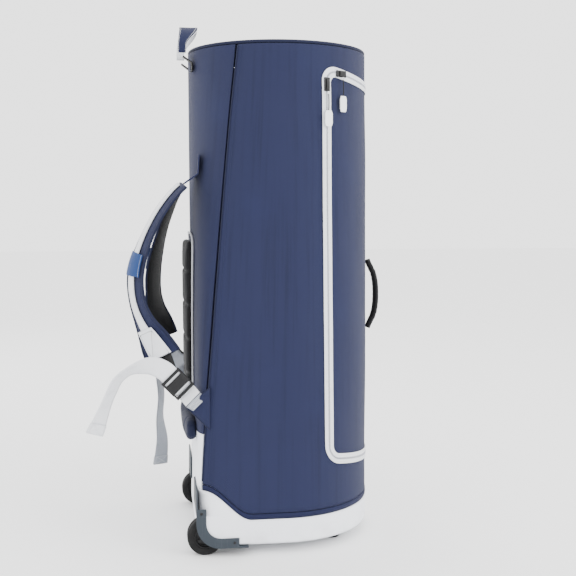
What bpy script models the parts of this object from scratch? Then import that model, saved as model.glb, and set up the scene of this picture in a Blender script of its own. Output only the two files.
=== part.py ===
"""Wheeled soft backpack for a rolled-up board: a fabric body with a zipped flap, two wheels and two straps.

Metres, +Z up, +X to the front. Every shape is written about the bag's own upright axis, and one empty moves
the whole bag so that the origin is the centre of the footprint of its bounding box.
"""

import math

import bmesh
import bpy
from mathutils import Matrix, Vector

# ---- Driving dimensions ------------------------------------------------------------------------------------
BAG_RADIUS = 0.185  # half the width, and the radius of the round front
RIM_Z = 0.984  # top of the body above the floor
BASE_Z = 0.020  # underside of the base above the floor
BACK_DEPTH = 0.172  # bag axis to the flat back, at the base
BACK_SQUARE = 12.0  # superellipse exponent of the back half at the base, 2 at the rim
SQUARE_TOP_Z = 0.130  # the section starts to round off above this height
WALL = 0.004  # padded fabric
GAP = 0.0006  # between one layer and the next
SEAM_GAP = 0.0030  # between panels sewn edge to edge round a corner
LAY_GAP = 0.0025  # under a flat piece that lies on the round back
HEM_HEIGHT = 0.010
LOWER_BACK_TOP_Z = 0.230  # top of the white panel behind
SEAM_X_LOW = -0.164  # back seams at the base
SEAM_X_TOP = -0.094  # back seams at the rim
RIM_RING = 0.0035  # radius of the piping round the rim
BOARD = 0.004  # stiffening boards

ZIP_X = 0.077  # where the upright zip meets the top run, measured to the front
ZIP_TOP_Z = RIM_Z - 0.055
ZIP_BOTTOM_Z = 0.176
ZIP_TILT = 0.21  # the top and bottom runs fall this much for each metre to the front
ZIP_ANGLE_TOP = math.radians(-66.0)
ZIP_ANGLE_BOTTOM = math.radians(-63.5)
FLAP_HINGE_ANGLE = math.radians(65.0)
ZIP_CORNER = 0.024
TAPE_WIDTH = 0.0100  # each of the two tapes
CHAIN_GAP = 0.0008  # half the slit between them
TAPE = 0.0012  # thickness
SLIDER = (0.0130, 0.0270, 0.0055)  # width, length, height
SLIDER_Z = ZIP_TOP_Z - 0.029
TOP_SLIDER_ANGLE = math.radians(-55.0)
TAG = (0.0170, 0.0310, 0.0024)
PULL_CORD_RADIUS = 0.0010
PULL_CORD_LENGTH = 0.031

GRIP_Z = (0.406, 0.550)
GRIP_PROUD = 0.034
GRIP = (0.024, 0.012)  # width and thickness in the middle
STRIP_Z = (0.372, 0.587)
STRIP_WIDTH = 0.030

HAUL_TOP_Z = RIM_Z + 0.050
HAUL_PIVOT = (-BAG_RADIUS - 0.0135, RIM_Z - 0.014)
HAUL_ANCHOR_Z = (RIM_Z - 0.044, RIM_Z - 0.031)
HAUL_ANCHOR_WIDTH = (0.030, 0.026, 0.016)
HAUL_HALF_SPAN = 0.055
HAUL_WIDTH = 0.037

STRAP_WIDTH = 0.070
STRAP_PAD = 0.012
WEBBING_WIDTH = 0.038
STRIPE_WIDTH = 0.024  # webbing down the face of a shoulder strap
WEBBING = 0.0016
LOCK = (0.046, WEBBING_WIDTH + 0.006, 0.004)  # ladder lock: length, width, thickness
LOCK_BAR = 0.006
LOCK_Y = BAG_RADIUS - 0.023
WING_CLEAR = 0.005  # between the wing's tip and the webbing that swings with the strap
WING_X = -0.150
WING_ROOT_Y = BAG_RADIUS - 0.004
WING_Z = (0.242, 0.320)
WEBBING_CLEAR = 0.003  # webbing's centre line off a ladder lock's face

PAD_Z = (0.262, 0.602)
PAD_HALF_WIDTH = 0.080
PAD = 0.012
LUMBAR_Z = (0.206, 0.252)
LUMBAR_HALF_WIDTH = BAG_RADIUS - 0.040
LUMBAR = 0.018

WHEEL_RADIUS = 0.035
WHEEL_X = -BACK_DEPTH + 0.015
WHEEL_WIDTH = 0.030
WHEEL_CLEAR = 0.003
AXLE_RADIUS = 0.003
BEARING_CLEAR = 0.00008
HOUSING_OUTER_Y = BAG_RADIUS
HOUSING_INNER_Y = HOUSING_OUTER_Y - WHEEL_WIDTH - 0.021
HOUSING_WALL = 0.004
HOUSING_FRONT_X = WHEEL_X + WHEEL_RADIUS + 0.010
HOUSING_TOP_Z = 2 * WHEEL_RADIUS + 0.008
HOUSING_CORNER = 0.044
BORDER_LOW_Z = HOUSING_TOP_Z - 0.011  # top of the white base at the front and the sides
BORDER_HIGH_Z = HOUSING_TOP_Z + 0.046  # top of the white base at the back corners
BORDER_RISE_X = (HOUSING_FRONT_X + 0.042, HOUSING_FRONT_X - 0.048)  # the border climbs between these places
GUARD = 0.003
GUARD_ARM = 0.019  # width of the guard's arms, seen from the side
GUARD_TOP_Z = HOUSING_TOP_Z + 0.014
GUARD_TOE = 0.018  # how far its foot runs ahead of the housing
GUARD_FLANGE_Y = 0.075  # inner edge of the flange behind
FOOT_X = 0.100
FOOT_Y = 0.095
FOOT_RADIUS = 0.018

TAIL_REACH_X = -BAG_RADIUS - 0.1955  # rearmost point, of the left adjuster tail
AXIS_X = -(TAIL_REACH_X + BAG_RADIUS + GRIP_PROUD) / 2  # puts the bounding box's centre at X = 0

SIDES = {"left": -1, "right": 1}  # as the wearer has them: the left strap is at -Y


# ---- Scene and materials -----------------------------------------------------------------------------------
for old in list(bpy.data.objects):
    bpy.data.objects.remove(old)
PARTS = bpy.data.collections.new("board_backpack")
CUTTERS = bpy.data.collections.new("cutters")
for group in (PARTS, CUTTERS):
    bpy.context.scene.collection.children.link(group)


def material(name, colour, roughness, metallic=0.0):
    made = bpy.data.materials.new(name)
    made.use_nodes = True
    shader = made.node_tree.nodes["Principled BSDF"]
    shader.inputs["Base Color"].default_value = (*colour, 1)
    shader.inputs["Roughness"].default_value = roughness
    shader.inputs["Metallic"].default_value = metallic
    made.diffuse_color = (*colour, 1)
    return made


NAVY = material("navy_fabric", (0.040, 0.055, 0.130), 0.75)
DARK_NAVY = material("dark_navy_binding", (0.018, 0.024, 0.060), 0.7)
WHITE = material("white_coated_fabric", (0.85, 0.87, 0.92), 0.45)
WHITE_WEBBING = material("white_webbing", (0.86, 0.87, 0.88), 0.7)
BLACK = material("black_fabric", (0.014, 0.014, 0.017), 0.8)
BLACK_PLASTIC = material("black_plastic", (0.016, 0.016, 0.018), 0.4)
GUARD_GREY = material("grey_plastic", (0.070, 0.095, 0.120), 0.5)
RUBBER = material("tyre_rubber", (0.018, 0.018, 0.020), 0.8)
STEEL = material("steel", (0.60, 0.60, 0.62), 0.3, 1.0)
LABEL_BLUE = material("label_blue", (0.016, 0.066, 0.240), 0.6)
GREY_PIPING = material("grey_piping", (0.45, 0.46, 0.48), 0.6)
BOARD_GREY = material("board", (0.20, 0.20, 0.20), 0.7)

FRAME = bpy.data.objects.new("bag_axis", None)
FRAME.location.x = AXIS_X
PARTS.objects.link(FRAME)


def pivot(name, place):
    """An empty on a joint's axis, which carries the pieces that turn or slide there."""
    empty = bpy.data.objects.new(name, None)
    empty.parent = FRAME
    empty.location = place
    PARTS.objects.link(empty)
    return empty


def add(name, data, finish, carrier=None):
    """Puts data, drawn about the bag's axis, in the scene as one named piece, with its origin on its carrier."""
    obj = bpy.data.objects.new(name, data)
    data.materials.clear()
    data.materials.append(finish)
    if carrier:
        data.transform(Matrix.Translation(-carrier.location))
    obj.parent = carrier or FRAME
    PARTS.objects.link(obj)
    return obj


def mesh_from(bm, name, recalculate=False):
    if recalculate:
        bmesh.ops.recalc_face_normals(bm, faces=bm.faces)
    mesh = bpy.data.meshes.new(name)
    bm.to_mesh(mesh)
    bm.free()
    return mesh


def smooth_shading(obj, degrees=35):
    obj.data.shade_smooth()
    obj.data.set_sharp_from_angle(angle=math.radians(degrees))


def solidify(obj, thickness, offset):
    wall = obj.modifiers.new("wall", "SOLIDIFY")
    wall.thickness = thickness
    wall.offset = offset
    wall.use_even_offset = True


def bevel(obj, width, segments=2, degrees=40):
    edge = obj.modifiers.new("rounded_edges", "BEVEL")
    edge.width = width
    edge.segments = segments
    edge.limit_method = "ANGLE"
    edge.angle_limit = math.radians(degrees)


def cutter(name, mesh):
    obj = bpy.data.objects.new(name, mesh)
    obj.parent = FRAME
    obj.hide_render = True
    obj.display_type = "WIRE"
    CUTTERS.objects.link(obj)
    return obj


def boolean(obj, other, operation="DIFFERENCE"):
    change = obj.modifiers.new(other.name, "BOOLEAN")
    change.operation = operation
    change.object = other


def mixed(a, b, share):
    return a + (b - a) * share


def eased(share):
    share = min(1.0, max(0.0, share))
    return share * share * (3 - 2 * share)


# ---- The bag's outer skin ----------------------------------------------------------------------------------
def rounding(z):
    return max(0.0, (z - SQUARE_TOP_Z) / (RIM_Z - SQUARE_TOP_Z))


def squareness(z):
    return 2 + (BACK_SQUARE - 2) * (1 - rounding(z)) ** 2.5


def back_depth(z):
    return mixed(BACK_DEPTH, BAG_RADIUS, rounding(z))


def seam_x(z):
    return mixed(SEAM_X_LOW, SEAM_X_TOP, rounding(z) ** 1.15)


def half_width(x, z, out=0.0):
    """Half the bag's width at x behind the axis."""
    power = squareness(z)
    share = min(1.0, abs(x) / (back_depth(z) + out))
    return (BAG_RADIUS + out) * (1 - share**power) ** (1 / power)


def back_x(y, z, out=0.0):
    """Where the back skin is at y."""
    power = squareness(z)
    share = min(1.0, abs(y) / (BAG_RADIUS + out))
    return -(back_depth(z) + out) * (1 - share**power) ** (1 / power)


def front_point(angle, z, out=0.0):
    reach = BAG_RADIUS + out
    return Vector((reach * math.cos(angle), reach * math.sin(angle), z))


def side_point(turn, z, out=0.0):
    """Skin from one back seam round the front to the other: turn 0 is the front, 1 the side, 2 the seam."""
    if abs(turn) <= 1:
        return front_point(turn * math.pi / 2, z, out)
    x = seam_x(z) * (abs(turn) - 1)
    return Vector((x, math.copysign(half_width(x, z, out), turn), z))


def back_point(across, z, out=0.0, inset=0.0):
    """Back skin between the seams: across runs from -1 to 1, counted as the bag is walked round."""
    y = (half_width(seam_x(z), z, out) - inset) * -across
    return Vector((back_x(y, z, out), y, z))


def border_z(x):
    start, end = BORDER_RISE_X
    return mixed(BORDER_LOW_Z, BORDER_HIGH_Z, eased((x - start) / (end - start)))


FRONT_TURNS = [i / 17 for i in range(-17, 18)]
BACK_TURNS = [1 + (i / 6) ** 0.8 for i in range(1, 7)]
TURNS = [-t for t in reversed(BACK_TURNS)] + FRONT_TURNS + BACK_TURNS


def grid(name, columns, rows, place, closed=False):
    """A sheet of quads whose corner at column i and row j is place(i, j). Its front faces away from the bag."""
    bm = bmesh.new()
    bmesh.ops.create_grid(bm, x_segments=columns, y_segments=rows, size=1)
    for vert in bm.verts:
        i = round((vert.co.x + 1) / 2 * columns)
        j = round((vert.co.y + 1) / 2 * rows)
        vert.co = place(i, j)
    if closed:
        bmesh.ops.remove_doubles(bm, verts=bm.verts, dist=1e-5)
    return mesh_from(bm, name)


# ---- Body --------------------------------------------------------------------------------------------------
WRAP_TOP_Z = RIM_Z - 2 * RIM_RING - GAP
WRAP_HEIGHTS = [0, 0.08, 0.16, 0.26, 0.38, 0.52, 0.75, 1]


def wrap_point(turn, share):
    foot_x = side_point(turn, SQUARE_TOP_Z).x
    low = border_z(foot_x) + HEM_HEIGHT + 4 * GAP
    return side_point(turn, mixed(low, WRAP_TOP_Z, share))


def wrap_place(i, j):
    return wrap_point(TURNS[i], WRAP_HEIGHTS[j])


body_wrap = add("body_wrap", grid("body_wrap", len(TURNS) - 1, len(WRAP_HEIGHTS) - 1, wrap_place), NAVY)
solidify(body_wrap, WALL, -1)


def hem_place(i, j):
    foot_x = side_point(TURNS[i], SQUARE_TOP_Z).x
    return side_point(TURNS[i], border_z(foot_x) + 2 * GAP + HEM_HEIGHT * j)


hem_binding = add("hem_binding", grid("hem_binding", len(TURNS) - 1, 1, hem_place), DARK_NAVY)
solidify(hem_binding, WALL, -1)

ACROSS = [math.sin(math.pi / 2 * i / 6) for i in range(-6, 7)]


BACK_ROWS = 14


def back_sheet(name, low, high, rows, finish):
    """A panel of the back between two levels."""

    def place(i, j):
        return back_point(ACROSS[i], mixed(low, high, j / rows), inset=SEAM_GAP)

    panel = add(name, grid(name, len(ACROSS) - 1, rows, place), finish)
    solidify(panel, WALL, -1)
    return panel


back_sheet("back_panel", LOWER_BACK_TOP_Z + GAP, WRAP_TOP_Z, BACK_ROWS, NAVY)
back_sheet("lower_back_panel", BORDER_HIGH_Z + GAP, LOWER_BACK_TOP_Z, 2, WHITE)

TUB_RING = [("side", turn) for turn in TURNS] + [("back", across) for across in ACROSS[1:]]


def tub_point(place, z, out=0.0):
    part, value = place
    return side_point(value, z, out) if part == "side" else back_point(value, z, out)


def ring_disc(name, low, high, out, heights=None):
    """A closed solid with the tub's outline between two levels. heights gives each corner's own top."""
    bm = bmesh.new()
    base = [bm.verts.new(tub_point(place, low, out)) for place in TUB_RING[:-1]]
    floor = bm.faces.new(base)
    walls = bmesh.ops.extrude_face_region(bm, geom=[floor])
    top = [item for item in walls["geom"] if isinstance(item, bmesh.types.BMVert)]
    for vert in top:
        vert.co.z = heights(vert.co.x) if heights else high
    return bm


tub = ring_disc("base_tub", BASE_Z, None, 0.0, border_z)
tub_lid = [face for face in tub.faces if all(vert.co.z > BASE_Z + GAP for vert in face.verts)]
bmesh.ops.delete(tub, geom=tub_lid, context="FACES_ONLY")
bmesh.ops.recalc_face_normals(tub, faces=tub.faces)
base_tub = add("base_tub", mesh_from(tub, "base_tub"), WHITE)
solidify(base_tub, WALL, -1)

board_low = BASE_Z + WALL + GAP
base_board = add(
    "base_board",
    mesh_from(ring_disc("base_board", board_low, board_low + BOARD, -WALL - 2 * GAP), "base_board", True),
    BOARD_GREY,
)

stiffener_z = (board_low + BOARD + GAP, RIM_Z - 0.084)
STIFFENER_HALF_WIDTH = 0.085
STIFFENER_COLUMNS = 8


def stiffener_point(i, j):
    z = mixed(*stiffener_z, j / BACK_ROWS)
    y = STIFFENER_HALF_WIDTH * (1 - 2 * i / STIFFENER_COLUMNS)
    return Vector((back_x(y, z) + WALL + LAY_GAP, y, z))


stiffener_mesh = grid("back_stiffener", STIFFENER_COLUMNS, BACK_ROWS, stiffener_point)
back_stiffener = add("back_stiffener", stiffener_mesh, BOARD_GREY)
solidify(back_stiffener, BOARD / 2, -1)


def disc(name, radius, depth, segments=48):
    bm = bmesh.new()
    bmesh.ops.create_cone(bm, cap_ends=True, segments=segments, radius1=radius, radius2=radius, depth=depth)
    return bm


cap_thickness = 0.005
cap = disc("top_cap", BAG_RADIUS - 2 * RIM_RING - 2 * GAP, cap_thickness, 64)
bmesh.ops.translate(cap, verts=cap.verts, vec=(0, 0, RIM_Z - RIM_RING))
top_cap = add("top_cap", mesh_from(cap, "top_cap"), NAVY)


def tube(name, points, radius, finish, carrier=None, cyclic=False, sides=2):
    """A round bar or cord along points, as a bevelled curve."""
    path = bpy.data.curves.new(name, "CURVE")
    path.dimensions = "3D"
    path.bevel_depth = radius
    path.bevel_resolution = sides
    path.use_fill_caps = not cyclic
    spline = path.splines.new("POLY")
    spline.points.add(len(points) - 1)
    for point, place in zip(spline.points, points):
        point.co = (*place, 1)
    spline.use_cyclic_u = cyclic
    return add(name, path, finish, carrier)


rim_radius = BAG_RADIUS - RIM_RING
rim_points = [
    Vector((rim_radius * math.cos(a), rim_radius * math.sin(a), RIM_Z - RIM_RING))
    for a in (2 * math.pi * i / 64 for i in range(64))
]
tube("rim_binding", rim_points, RIM_RING, DARK_NAVY, cyclic=True)


# ---- Front flap and its zip --------------------------------------------------------------------------------
def zip_angle(z):
    return mixed(ZIP_ANGLE_BOTTOM, ZIP_ANGLE_TOP, (z - ZIP_BOTTOM_Z) / (ZIP_TOP_Z - ZIP_BOTTOM_Z))


def run_z(level, angle):
    """Height of the top or the bottom run of the zip at an angle round the front."""
    return level - ZIP_TILT * (BAG_RADIUS * math.cos(angle) - ZIP_X)


CORNER_STEPS = 5
CORNER_TURNS = [math.pi / 2 * i / CORNER_STEPS for i in range(CORNER_STEPS + 1)]
FLAP_COLUMNS = 24


def flap_point(i, share, margin, out=0.0):
    """The region inside the zip, drawn in from its centre line by margin. The corners are quarter circles."""
    corner = ZIP_CORNER - margin
    if i <= CORNER_STEPS:
        along = margin + corner * (1 - math.cos(CORNER_TURNS[i]))
        drop = corner * (1 - math.sin(CORNER_TURNS[i]))
    else:
        start = margin + corner
        end = BAG_RADIUS * (FLAP_HINGE_ANGLE - ZIP_ANGLE_TOP)
        along = mixed(start, end, (i - CORNER_STEPS) / FLAP_COLUMNS)
        drop = 0.0
    whole = BAG_RADIUS * (FLAP_HINGE_ANGLE - ZIP_ANGLE_TOP)

    def angle_at(z):
        return mixed(zip_angle(z), FLAP_HINGE_ANGLE, along / whole)

    top = run_z(ZIP_TOP_Z, angle_at(ZIP_TOP_Z)) - margin - drop
    low = run_z(ZIP_BOTTOM_Z, angle_at(ZIP_BOTTOM_Z)) + margin + drop
    z = mixed(low, top, share)
    return front_point(angle_at(z), z, out)


FLAP_GRID = CORNER_STEPS + FLAP_COLUMNS
FLAP_ROWS = 4
flap_pivot = pivot("flap_hinge_axis", front_point(FLAP_HINGE_ANGLE, (ZIP_TOP_Z + ZIP_BOTTOM_Z) / 2, GAP))


def flap_place(i, j):
    return flap_point(i, j / FLAP_ROWS, CHAIN_GAP)


flap_mesh = grid("front_flap", FLAP_GRID, FLAP_ROWS, flap_place)
front_flap = add("front_flap", flap_mesh, NAVY, flap_pivot)
solidify(front_flap, WALL, -1)

window_depth = 0.02


def window_place(i, j):
    return flap_point(i, j / FLAP_ROWS, -CHAIN_GAP, window_depth / 2)


window_mesh = grid("window", FLAP_GRID, FLAP_ROWS, window_place)
window = cutter("flap_window", window_mesh)
solidify(window, window_depth, -1)
boolean(body_wrap, window)


def zip_path(offset):
    """Points of the zip's three runs, moved off its centre line by offset: positive is into the flap."""
    corner = ZIP_CORNER - offset
    span = BAG_RADIUS * (FLAP_HINGE_ANGLE - ZIP_ANGLE_TOP)
    runs = 16
    flat = [mixed(span, ZIP_CORNER, i / runs) for i in range(runs)]
    bend = [ZIP_CORNER - corner * math.sin(a) for a in CORNER_TURNS]
    rise = [corner * (1 - math.cos(a)) for a in CORNER_TURNS]
    half = [(along, 0.0) for along in flat] + list(zip(bend, rise))
    points = []
    for level, sign in ((ZIP_TOP_Z, -1), (ZIP_BOTTOM_Z, 1)):
        run = []
        for along, drop in half:
            angle = zip_angle(level) + (FLAP_HINGE_ANGLE - zip_angle(level)) * along / span
            run.append((angle, run_z(level, angle) + sign * (offset + drop)))
        points.append(run)
    upper, lower = points
    upright = []
    for share in (0.2, 0.4, 0.6, 0.8):
        z = mixed(upper[-1][1], lower[-1][1], share)
        angle = zip_angle(z) + offset / BAG_RADIUS
        upright.append((angle, z))
    return upper + upright + lower[::-1]


def zip_band(name, near, far, finish, carrier=None):
    """A tape that follows the zip from near to far of its centre line, on top of the fabric."""
    edges = [zip_path(offset) for offset in sorted((near, far))]

    def place(i, j):
        return front_point(*edges[j][i], GAP)

    band = add(name, grid(name, len(edges[0]) - 1, 1, place), finish, carrier)
    solidify(band, TAPE, 1)
    return band


zip_band("zip_tape_body", -TAPE_WIDTH, -CHAIN_GAP, WHITE)
zip_band("zip_tape_flap", CHAIN_GAP, TAPE_WIDTH, WHITE, flap_pivot)

hinge_band_width = 0.012


def hinge_band_point(i, j):
    angle = FLAP_HINGE_ANGLE + (4 * GAP + hinge_band_width * i / 2) / BAG_RADIUS
    low = run_z(ZIP_BOTTOM_Z, angle)
    high = run_z(ZIP_TOP_Z, angle)
    return front_point(angle, mixed(low, high, j / 3), GAP)


hinge_binding = add("flap_hinge_binding", grid("flap_hinge_binding", 2, 3, hinge_band_point), DARK_NAVY)
solidify(hinge_binding, TAPE, 1)


def block(name, size, place, turn, finish, carrier=None, edge=0.0, segments=2):
    """A box with rounded edges, turned by the rotation matrix turn and moved to place."""
    bm = bmesh.new()
    bmesh.ops.create_cube(bm, size=1)
    bmesh.ops.scale(bm, verts=bm.verts, vec=size)
    bmesh.ops.transform(bm, verts=bm.verts, matrix=Matrix.Translation(place) @ turn)
    obj = add(name, mesh_from(bm, name), finish, carrier)
    if edge:
        bevel(obj, edge, segments)
    return obj


def facing(angle):
    """Rotation whose X runs along the skin, Y up and Z out of it, at an angle round the front."""
    out = Vector((math.cos(angle), math.sin(angle), 0))
    along = Vector((-math.sin(angle), math.cos(angle), 0))
    return Matrix((along, Vector((0, 0, 1)), out)).transposed().to_4x4()


slider_out = 2 * GAP + TAPE
ring_size = (0.0060, 0.0050, 0.0014)
PULL_STAND = 0.0012  # keeps a hanging tag off the fabric as the top slider goes round


def zip_pull(side, angle, z, long_way, carrier):
    """Slider, ring, cord and tag. long_way is the slider's length along the zip, 0 across and 1 up."""
    turn = facing(angle)
    width, length, height = SLIDER
    size = (width, length, height) if long_way else (length, width, height)
    place = front_point(angle, z, slider_out + height / 2)
    block(f"zip_slider_{side}", size, place, turn, BLACK_PLASTIC, carrier, 0.0008, 1)
    ring_out = slider_out + height + PULL_STAND + ring_size[2] / 2
    hinge = front_point(angle, z - size[1] / 2 - ring_size[2], ring_out)
    swing = pivot(f"pull_axis_{side}", hinge)
    ring_place = hinge - Vector((0, 0, (ring_size[1] - ring_size[2]) / 2))
    block(f"zip_ring_{side}", ring_size, ring_place, turn, STEEL, swing, 0.0004, 1)
    cord_top = hinge.z - ring_size[1] + ring_size[2] / 2 - 0.0003
    steps = 14
    cord = []
    for i in range(steps + 1):
        share = i / steps
        bow = 0.0008 * math.sin(math.pi * share)
        cord.append(front_point(angle, cord_top - PULL_CORD_LENGTH * share, ring_out + bow))
    tube(f"pull_cord_{side}", cord, PULL_CORD_RADIUS, BLACK, swing)
    tag_top = cord_top - PULL_CORD_LENGTH - 0.0003
    half, tall, thick = TAG[0] / 2, TAG[1], TAG[2]
    narrow = half * 0.7
    right_side = [(narrow, 0), (half, -0.2 * tall), (half, -0.8 * tall), (narrow, -tall)]
    outline = [(-narrow, 0), *right_side, (-narrow, -tall)]
    outline += [(-half, -0.8 * tall), (-half, -0.2 * tall)]
    place = Matrix.Translation(front_point(angle, tag_top, ring_out)) @ turn
    plate(f"pull_tag_{side}", outline, thick, place, WHITE_WEBBING, swing, 0.0004)
    return swing


def plate(name, outline, thickness, place, finish, carrier=None, edge=0.0, holes=()):
    """A flat outline given in its own X and Y, thickness along Z, moved by the matrix place."""
    flat = bpy.data.curves.new(name, "CURVE")
    flat.dimensions = "2D"
    flat.fill_mode = "BOTH"
    flat.extrude = thickness / 2
    for loop in (outline, *holes):
        spline = flat.splines.new("POLY")
        spline.points.add(len(loop) - 1)
        for point, corner in zip(spline.points, loop):
            point.co = (*corner, 0, 1)
        spline.use_cyclic_u = True
    source = bpy.data.objects.new(name + "_outline", flat)
    PARTS.objects.link(source)
    bpy.context.view_layer.update()
    mesh = bpy.data.meshes.new_from_object(source.evaluated_get(bpy.context.evaluated_depsgraph_get()))
    bpy.data.objects.remove(source)
    bm = bmesh.new()
    bm.from_mesh(mesh)
    bmesh.ops.remove_doubles(bm, verts=bm.verts, dist=1e-6)
    bmesh.ops.dissolve_limit(bm, angle_limit=math.radians(1), verts=bm.verts, edges=bm.edges)
    bmesh.ops.transform(bm, verts=bm.verts, matrix=place)
    obj = add(name, mesh_from(bm, name, True), finish, carrier)
    if edge:
        bevel(obj, edge, 1)
    return obj


side_angle = zip_angle(SLIDER_Z)
side_slider_pivot = pivot("side_slider_start", front_point(side_angle, SLIDER_Z))
zip_pull("side", side_angle, SLIDER_Z, 1, side_slider_pivot)

# The top run lies in a plane that falls to the front, and the slider goes round a circle in that plane.
TOP_RUN_NORMAL = Vector((ZIP_TILT, 0, 1)).normalized()
top_slider_z = run_z(ZIP_TOP_Z, TOP_SLIDER_ANGLE)
TOP_RUN_CENTRE = 0.0058  # ahead of the bag's axis, in that plane
top_run_axis = Vector((TOP_RUN_CENTRE, 0, ZIP_TOP_Z - ZIP_TILT * (TOP_RUN_CENTRE - ZIP_X)))
top_slider_pivot = pivot("top_slider_axis", top_run_axis)
zip_pull("top", TOP_SLIDER_ANGLE, top_slider_z, 0, top_slider_pivot)


# ---- Ribbons -----------------------------------------------------------------------------------------------
def curve_through(points, count):
    """count + 1 points on a smooth curve through points, as tuples of any length (Catmull-Rom)."""
    ends = [points[0], *points, points[-1]]
    spans = len(points) - 1
    result = []
    for k in range(count + 1):
        at = min(k / count * spans, spans - 1e-9)
        i, t = int(at), at - int(at)
        before, start, end, after = ends[i : i + 4]
        result.append(
            tuple(
                0.5 * (2 * q + (r - p) * t + (2 * p - 5 * q + 4 * r - s) * t**2 + (3 * q - p - 3 * r + s) * t**3)
                for p, q, r, s in zip(before, start, end, after)
            )
        )
    return result


def ribbon(name, stations, thickness, finish, carrier=None, lift=0.0, edge=0.0, across_steps=1):
    """A flat strap. Each station is its centre, the direction across it and its width; lift is off its face."""
    centres = [Vector(station[0]) for station in stations]
    count = len(stations)
    faces_out = []
    for i, (_, across, _) in enumerate(stations):
        along = centres[min(i + 1, count - 1)] - centres[max(i - 1, 0)]
        faces_out.append(along.cross(Vector(across)).normalized())

    def place(i, j):
        _, across, width = stations[i]
        return centres[i] + faces_out[i] * lift + Vector(across).normalized() * width * (j / across_steps - 0.5)

    strip = add(name, grid(name, count - 1, across_steps, place), finish, carrier)
    solidify(strip, thickness, 0)
    if edge:
        bevel(strip, edge)
    return strip


def padded_bar(name, stations, thickness, finish, carrier=None, sides=10):
    """A bar of oval section. Each station is its centre, the direction across it, its width and its normal."""
    bm = bmesh.new()
    rings = []
    for centre, across, width, normal in stations:
        ring = []
        for k in range(sides):
            turn = 2 * math.pi * k / sides
            offset = Vector(across) * math.cos(turn) * width / 2 + Vector(normal) * math.sin(turn) * thickness / 2
            ring.append(bm.verts.new(Vector(centre) + offset))
        rings.append(ring)
    for ring, following in zip(rings, rings[1:]):
        for k in range(sides):
            bm.faces.new((ring[k], ring[(k + 1) % sides], following[(k + 1) % sides], following[k]))
    bm.faces.new(rings[0])
    bm.faces.new(rings[-1])
    return add(name, mesh_from(bm, name, True), finish, carrier)


# ---- Front handle ------------------------------------------------------------------------------------------
def strip_point(i, j):
    angle = STRIP_WIDTH / BAG_RADIUS * (i / 4 - 0.5)
    return front_point(angle, mixed(*STRIP_Z, j / 3), GAP)


handle_strip = add("front_handle_strip", grid("front_handle_strip", 4, 3, strip_point), BLACK, flap_pivot)
solidify(handle_strip, TAPE, 1)

grip_root_out = 0.010
grip_rise = GRIP_PROUD - GRIP[1] / 2
grip_axis = Vector((BAG_RADIUS + grip_root_out, 0, sum(GRIP_Z) / 2))
grip_pivot = pivot("front_handle_axis", grip_axis)
grip_profile = [(0.0, 0.0), (0.06, 0.20), (0.20, 0.72), (0.35, 0.95), (0.5, 1.0)]
grip_profile += [(1 - share, rise) for share, rise in reversed(grip_profile[:-1])]
grip_route = curve_through(grip_profile, 20)
grip_stations = []
for i, (share, rise) in enumerate(grip_route):
    centre = Vector((BAG_RADIUS + mixed(grip_root_out, grip_rise, rise), 0, mixed(*reversed(GRIP_Z), share)))
    grip_stations.append((centre, (0, 1, 0), mixed(0.012, GRIP[0], rise)))
for i, (centre, across, width) in enumerate(grip_stations):
    ahead, behind = grip_stations[min(i + 1, 20)][0], grip_stations[max(i - 1, 0)][0]
    normal = (ahead - behind).cross(Vector(across)).normalized()
    grip_stations[i] = (centre, across, width, normal)
padded_bar("front_handle_grip", grip_stations, GRIP[1], BLACK, grip_pivot)


# ---- Haul loop ---------------------------------------------------------------------------------------------
haul_pivot = pivot("haul_loop_axis", Vector((HAUL_PIVOT[0], 0, HAUL_PIVOT[1])))


def haul_stations(shrink):
    """The arch from one end to the other: narrow and behind the rim at its ends, wide above the rim."""
    stations = []
    for i in range(17):
        turn = math.pi * i / 16
        rise = math.sin(turn) ** 0.7
        y = -(HAUL_HALF_SPAN - shrink) * math.cos(turn)
        z = mixed(HAUL_PIVOT[1] + 0.004, HAUL_TOP_Z - WEBBING - shrink, rise)
        x = mixed(HAUL_PIVOT[0], -0.184, eased(rise * 1.3 - 0.3))
        width = mixed(0.016, HAUL_WIDTH, eased(rise * 1.3 - 0.3))
        stations.append(((x, y, z), (1, 0, 0), width))
    return stations


ribbon("haul_loop_band", haul_stations(0.0), WEBBING * 1.5, NAVY, haul_pivot)
ribbon("haul_loop_lining", haul_stations(0.0032), WEBBING, WHITE_WEBBING, haul_pivot)


def on_back(y, z, width, lift=LAY_GAP):
    """Station of a ribbon that lies flat on the back skin, square to its curve."""
    left, right = (Vector((back_x(y + k * width / 2, z), y + k * width / 2, z)) for k in (-1, 1))
    across = (right - left).normalized()
    return ((left + right) / 2 + Vector((-across.y, across.x, 0)) * lift, across, width)


def skin_rise(y, z, width, steps=20):
    """How far the back skin stands proud of a straight line from edge to edge of a ribbon on it."""
    left, right = (Vector((back_x(y + k * width / 2, z), y + k * width / 2)) for k in (-1, 1))
    along = (right - left).normalized()
    outward = Vector((-along.y, along.x))
    spots = [y + (i / steps - 0.5) * width for i in range(steps + 1)]
    return max((Vector((back_x(spot, z), spot)) - left).dot(outward) for spot in spots)


for side, sign in SIDES.items():
    y = sign * HAUL_HALF_SPAN
    tip = (HAUL_PIVOT[0] + 0.002, y, HAUL_PIVOT[1] - 0.004)
    low_width, high_width, tip_width = HAUL_ANCHOR_WIDTH
    anchor = [on_back(y, HAUL_ANCHOR_Z[0], low_width), on_back(y, HAUL_ANCHOR_Z[1], high_width)]
    anchor.append((tip, (0, 1, 0), tip_width))
    ribbon(f"haul_anchor_{side}", anchor, WEBBING * 1.5, BLACK)


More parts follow.
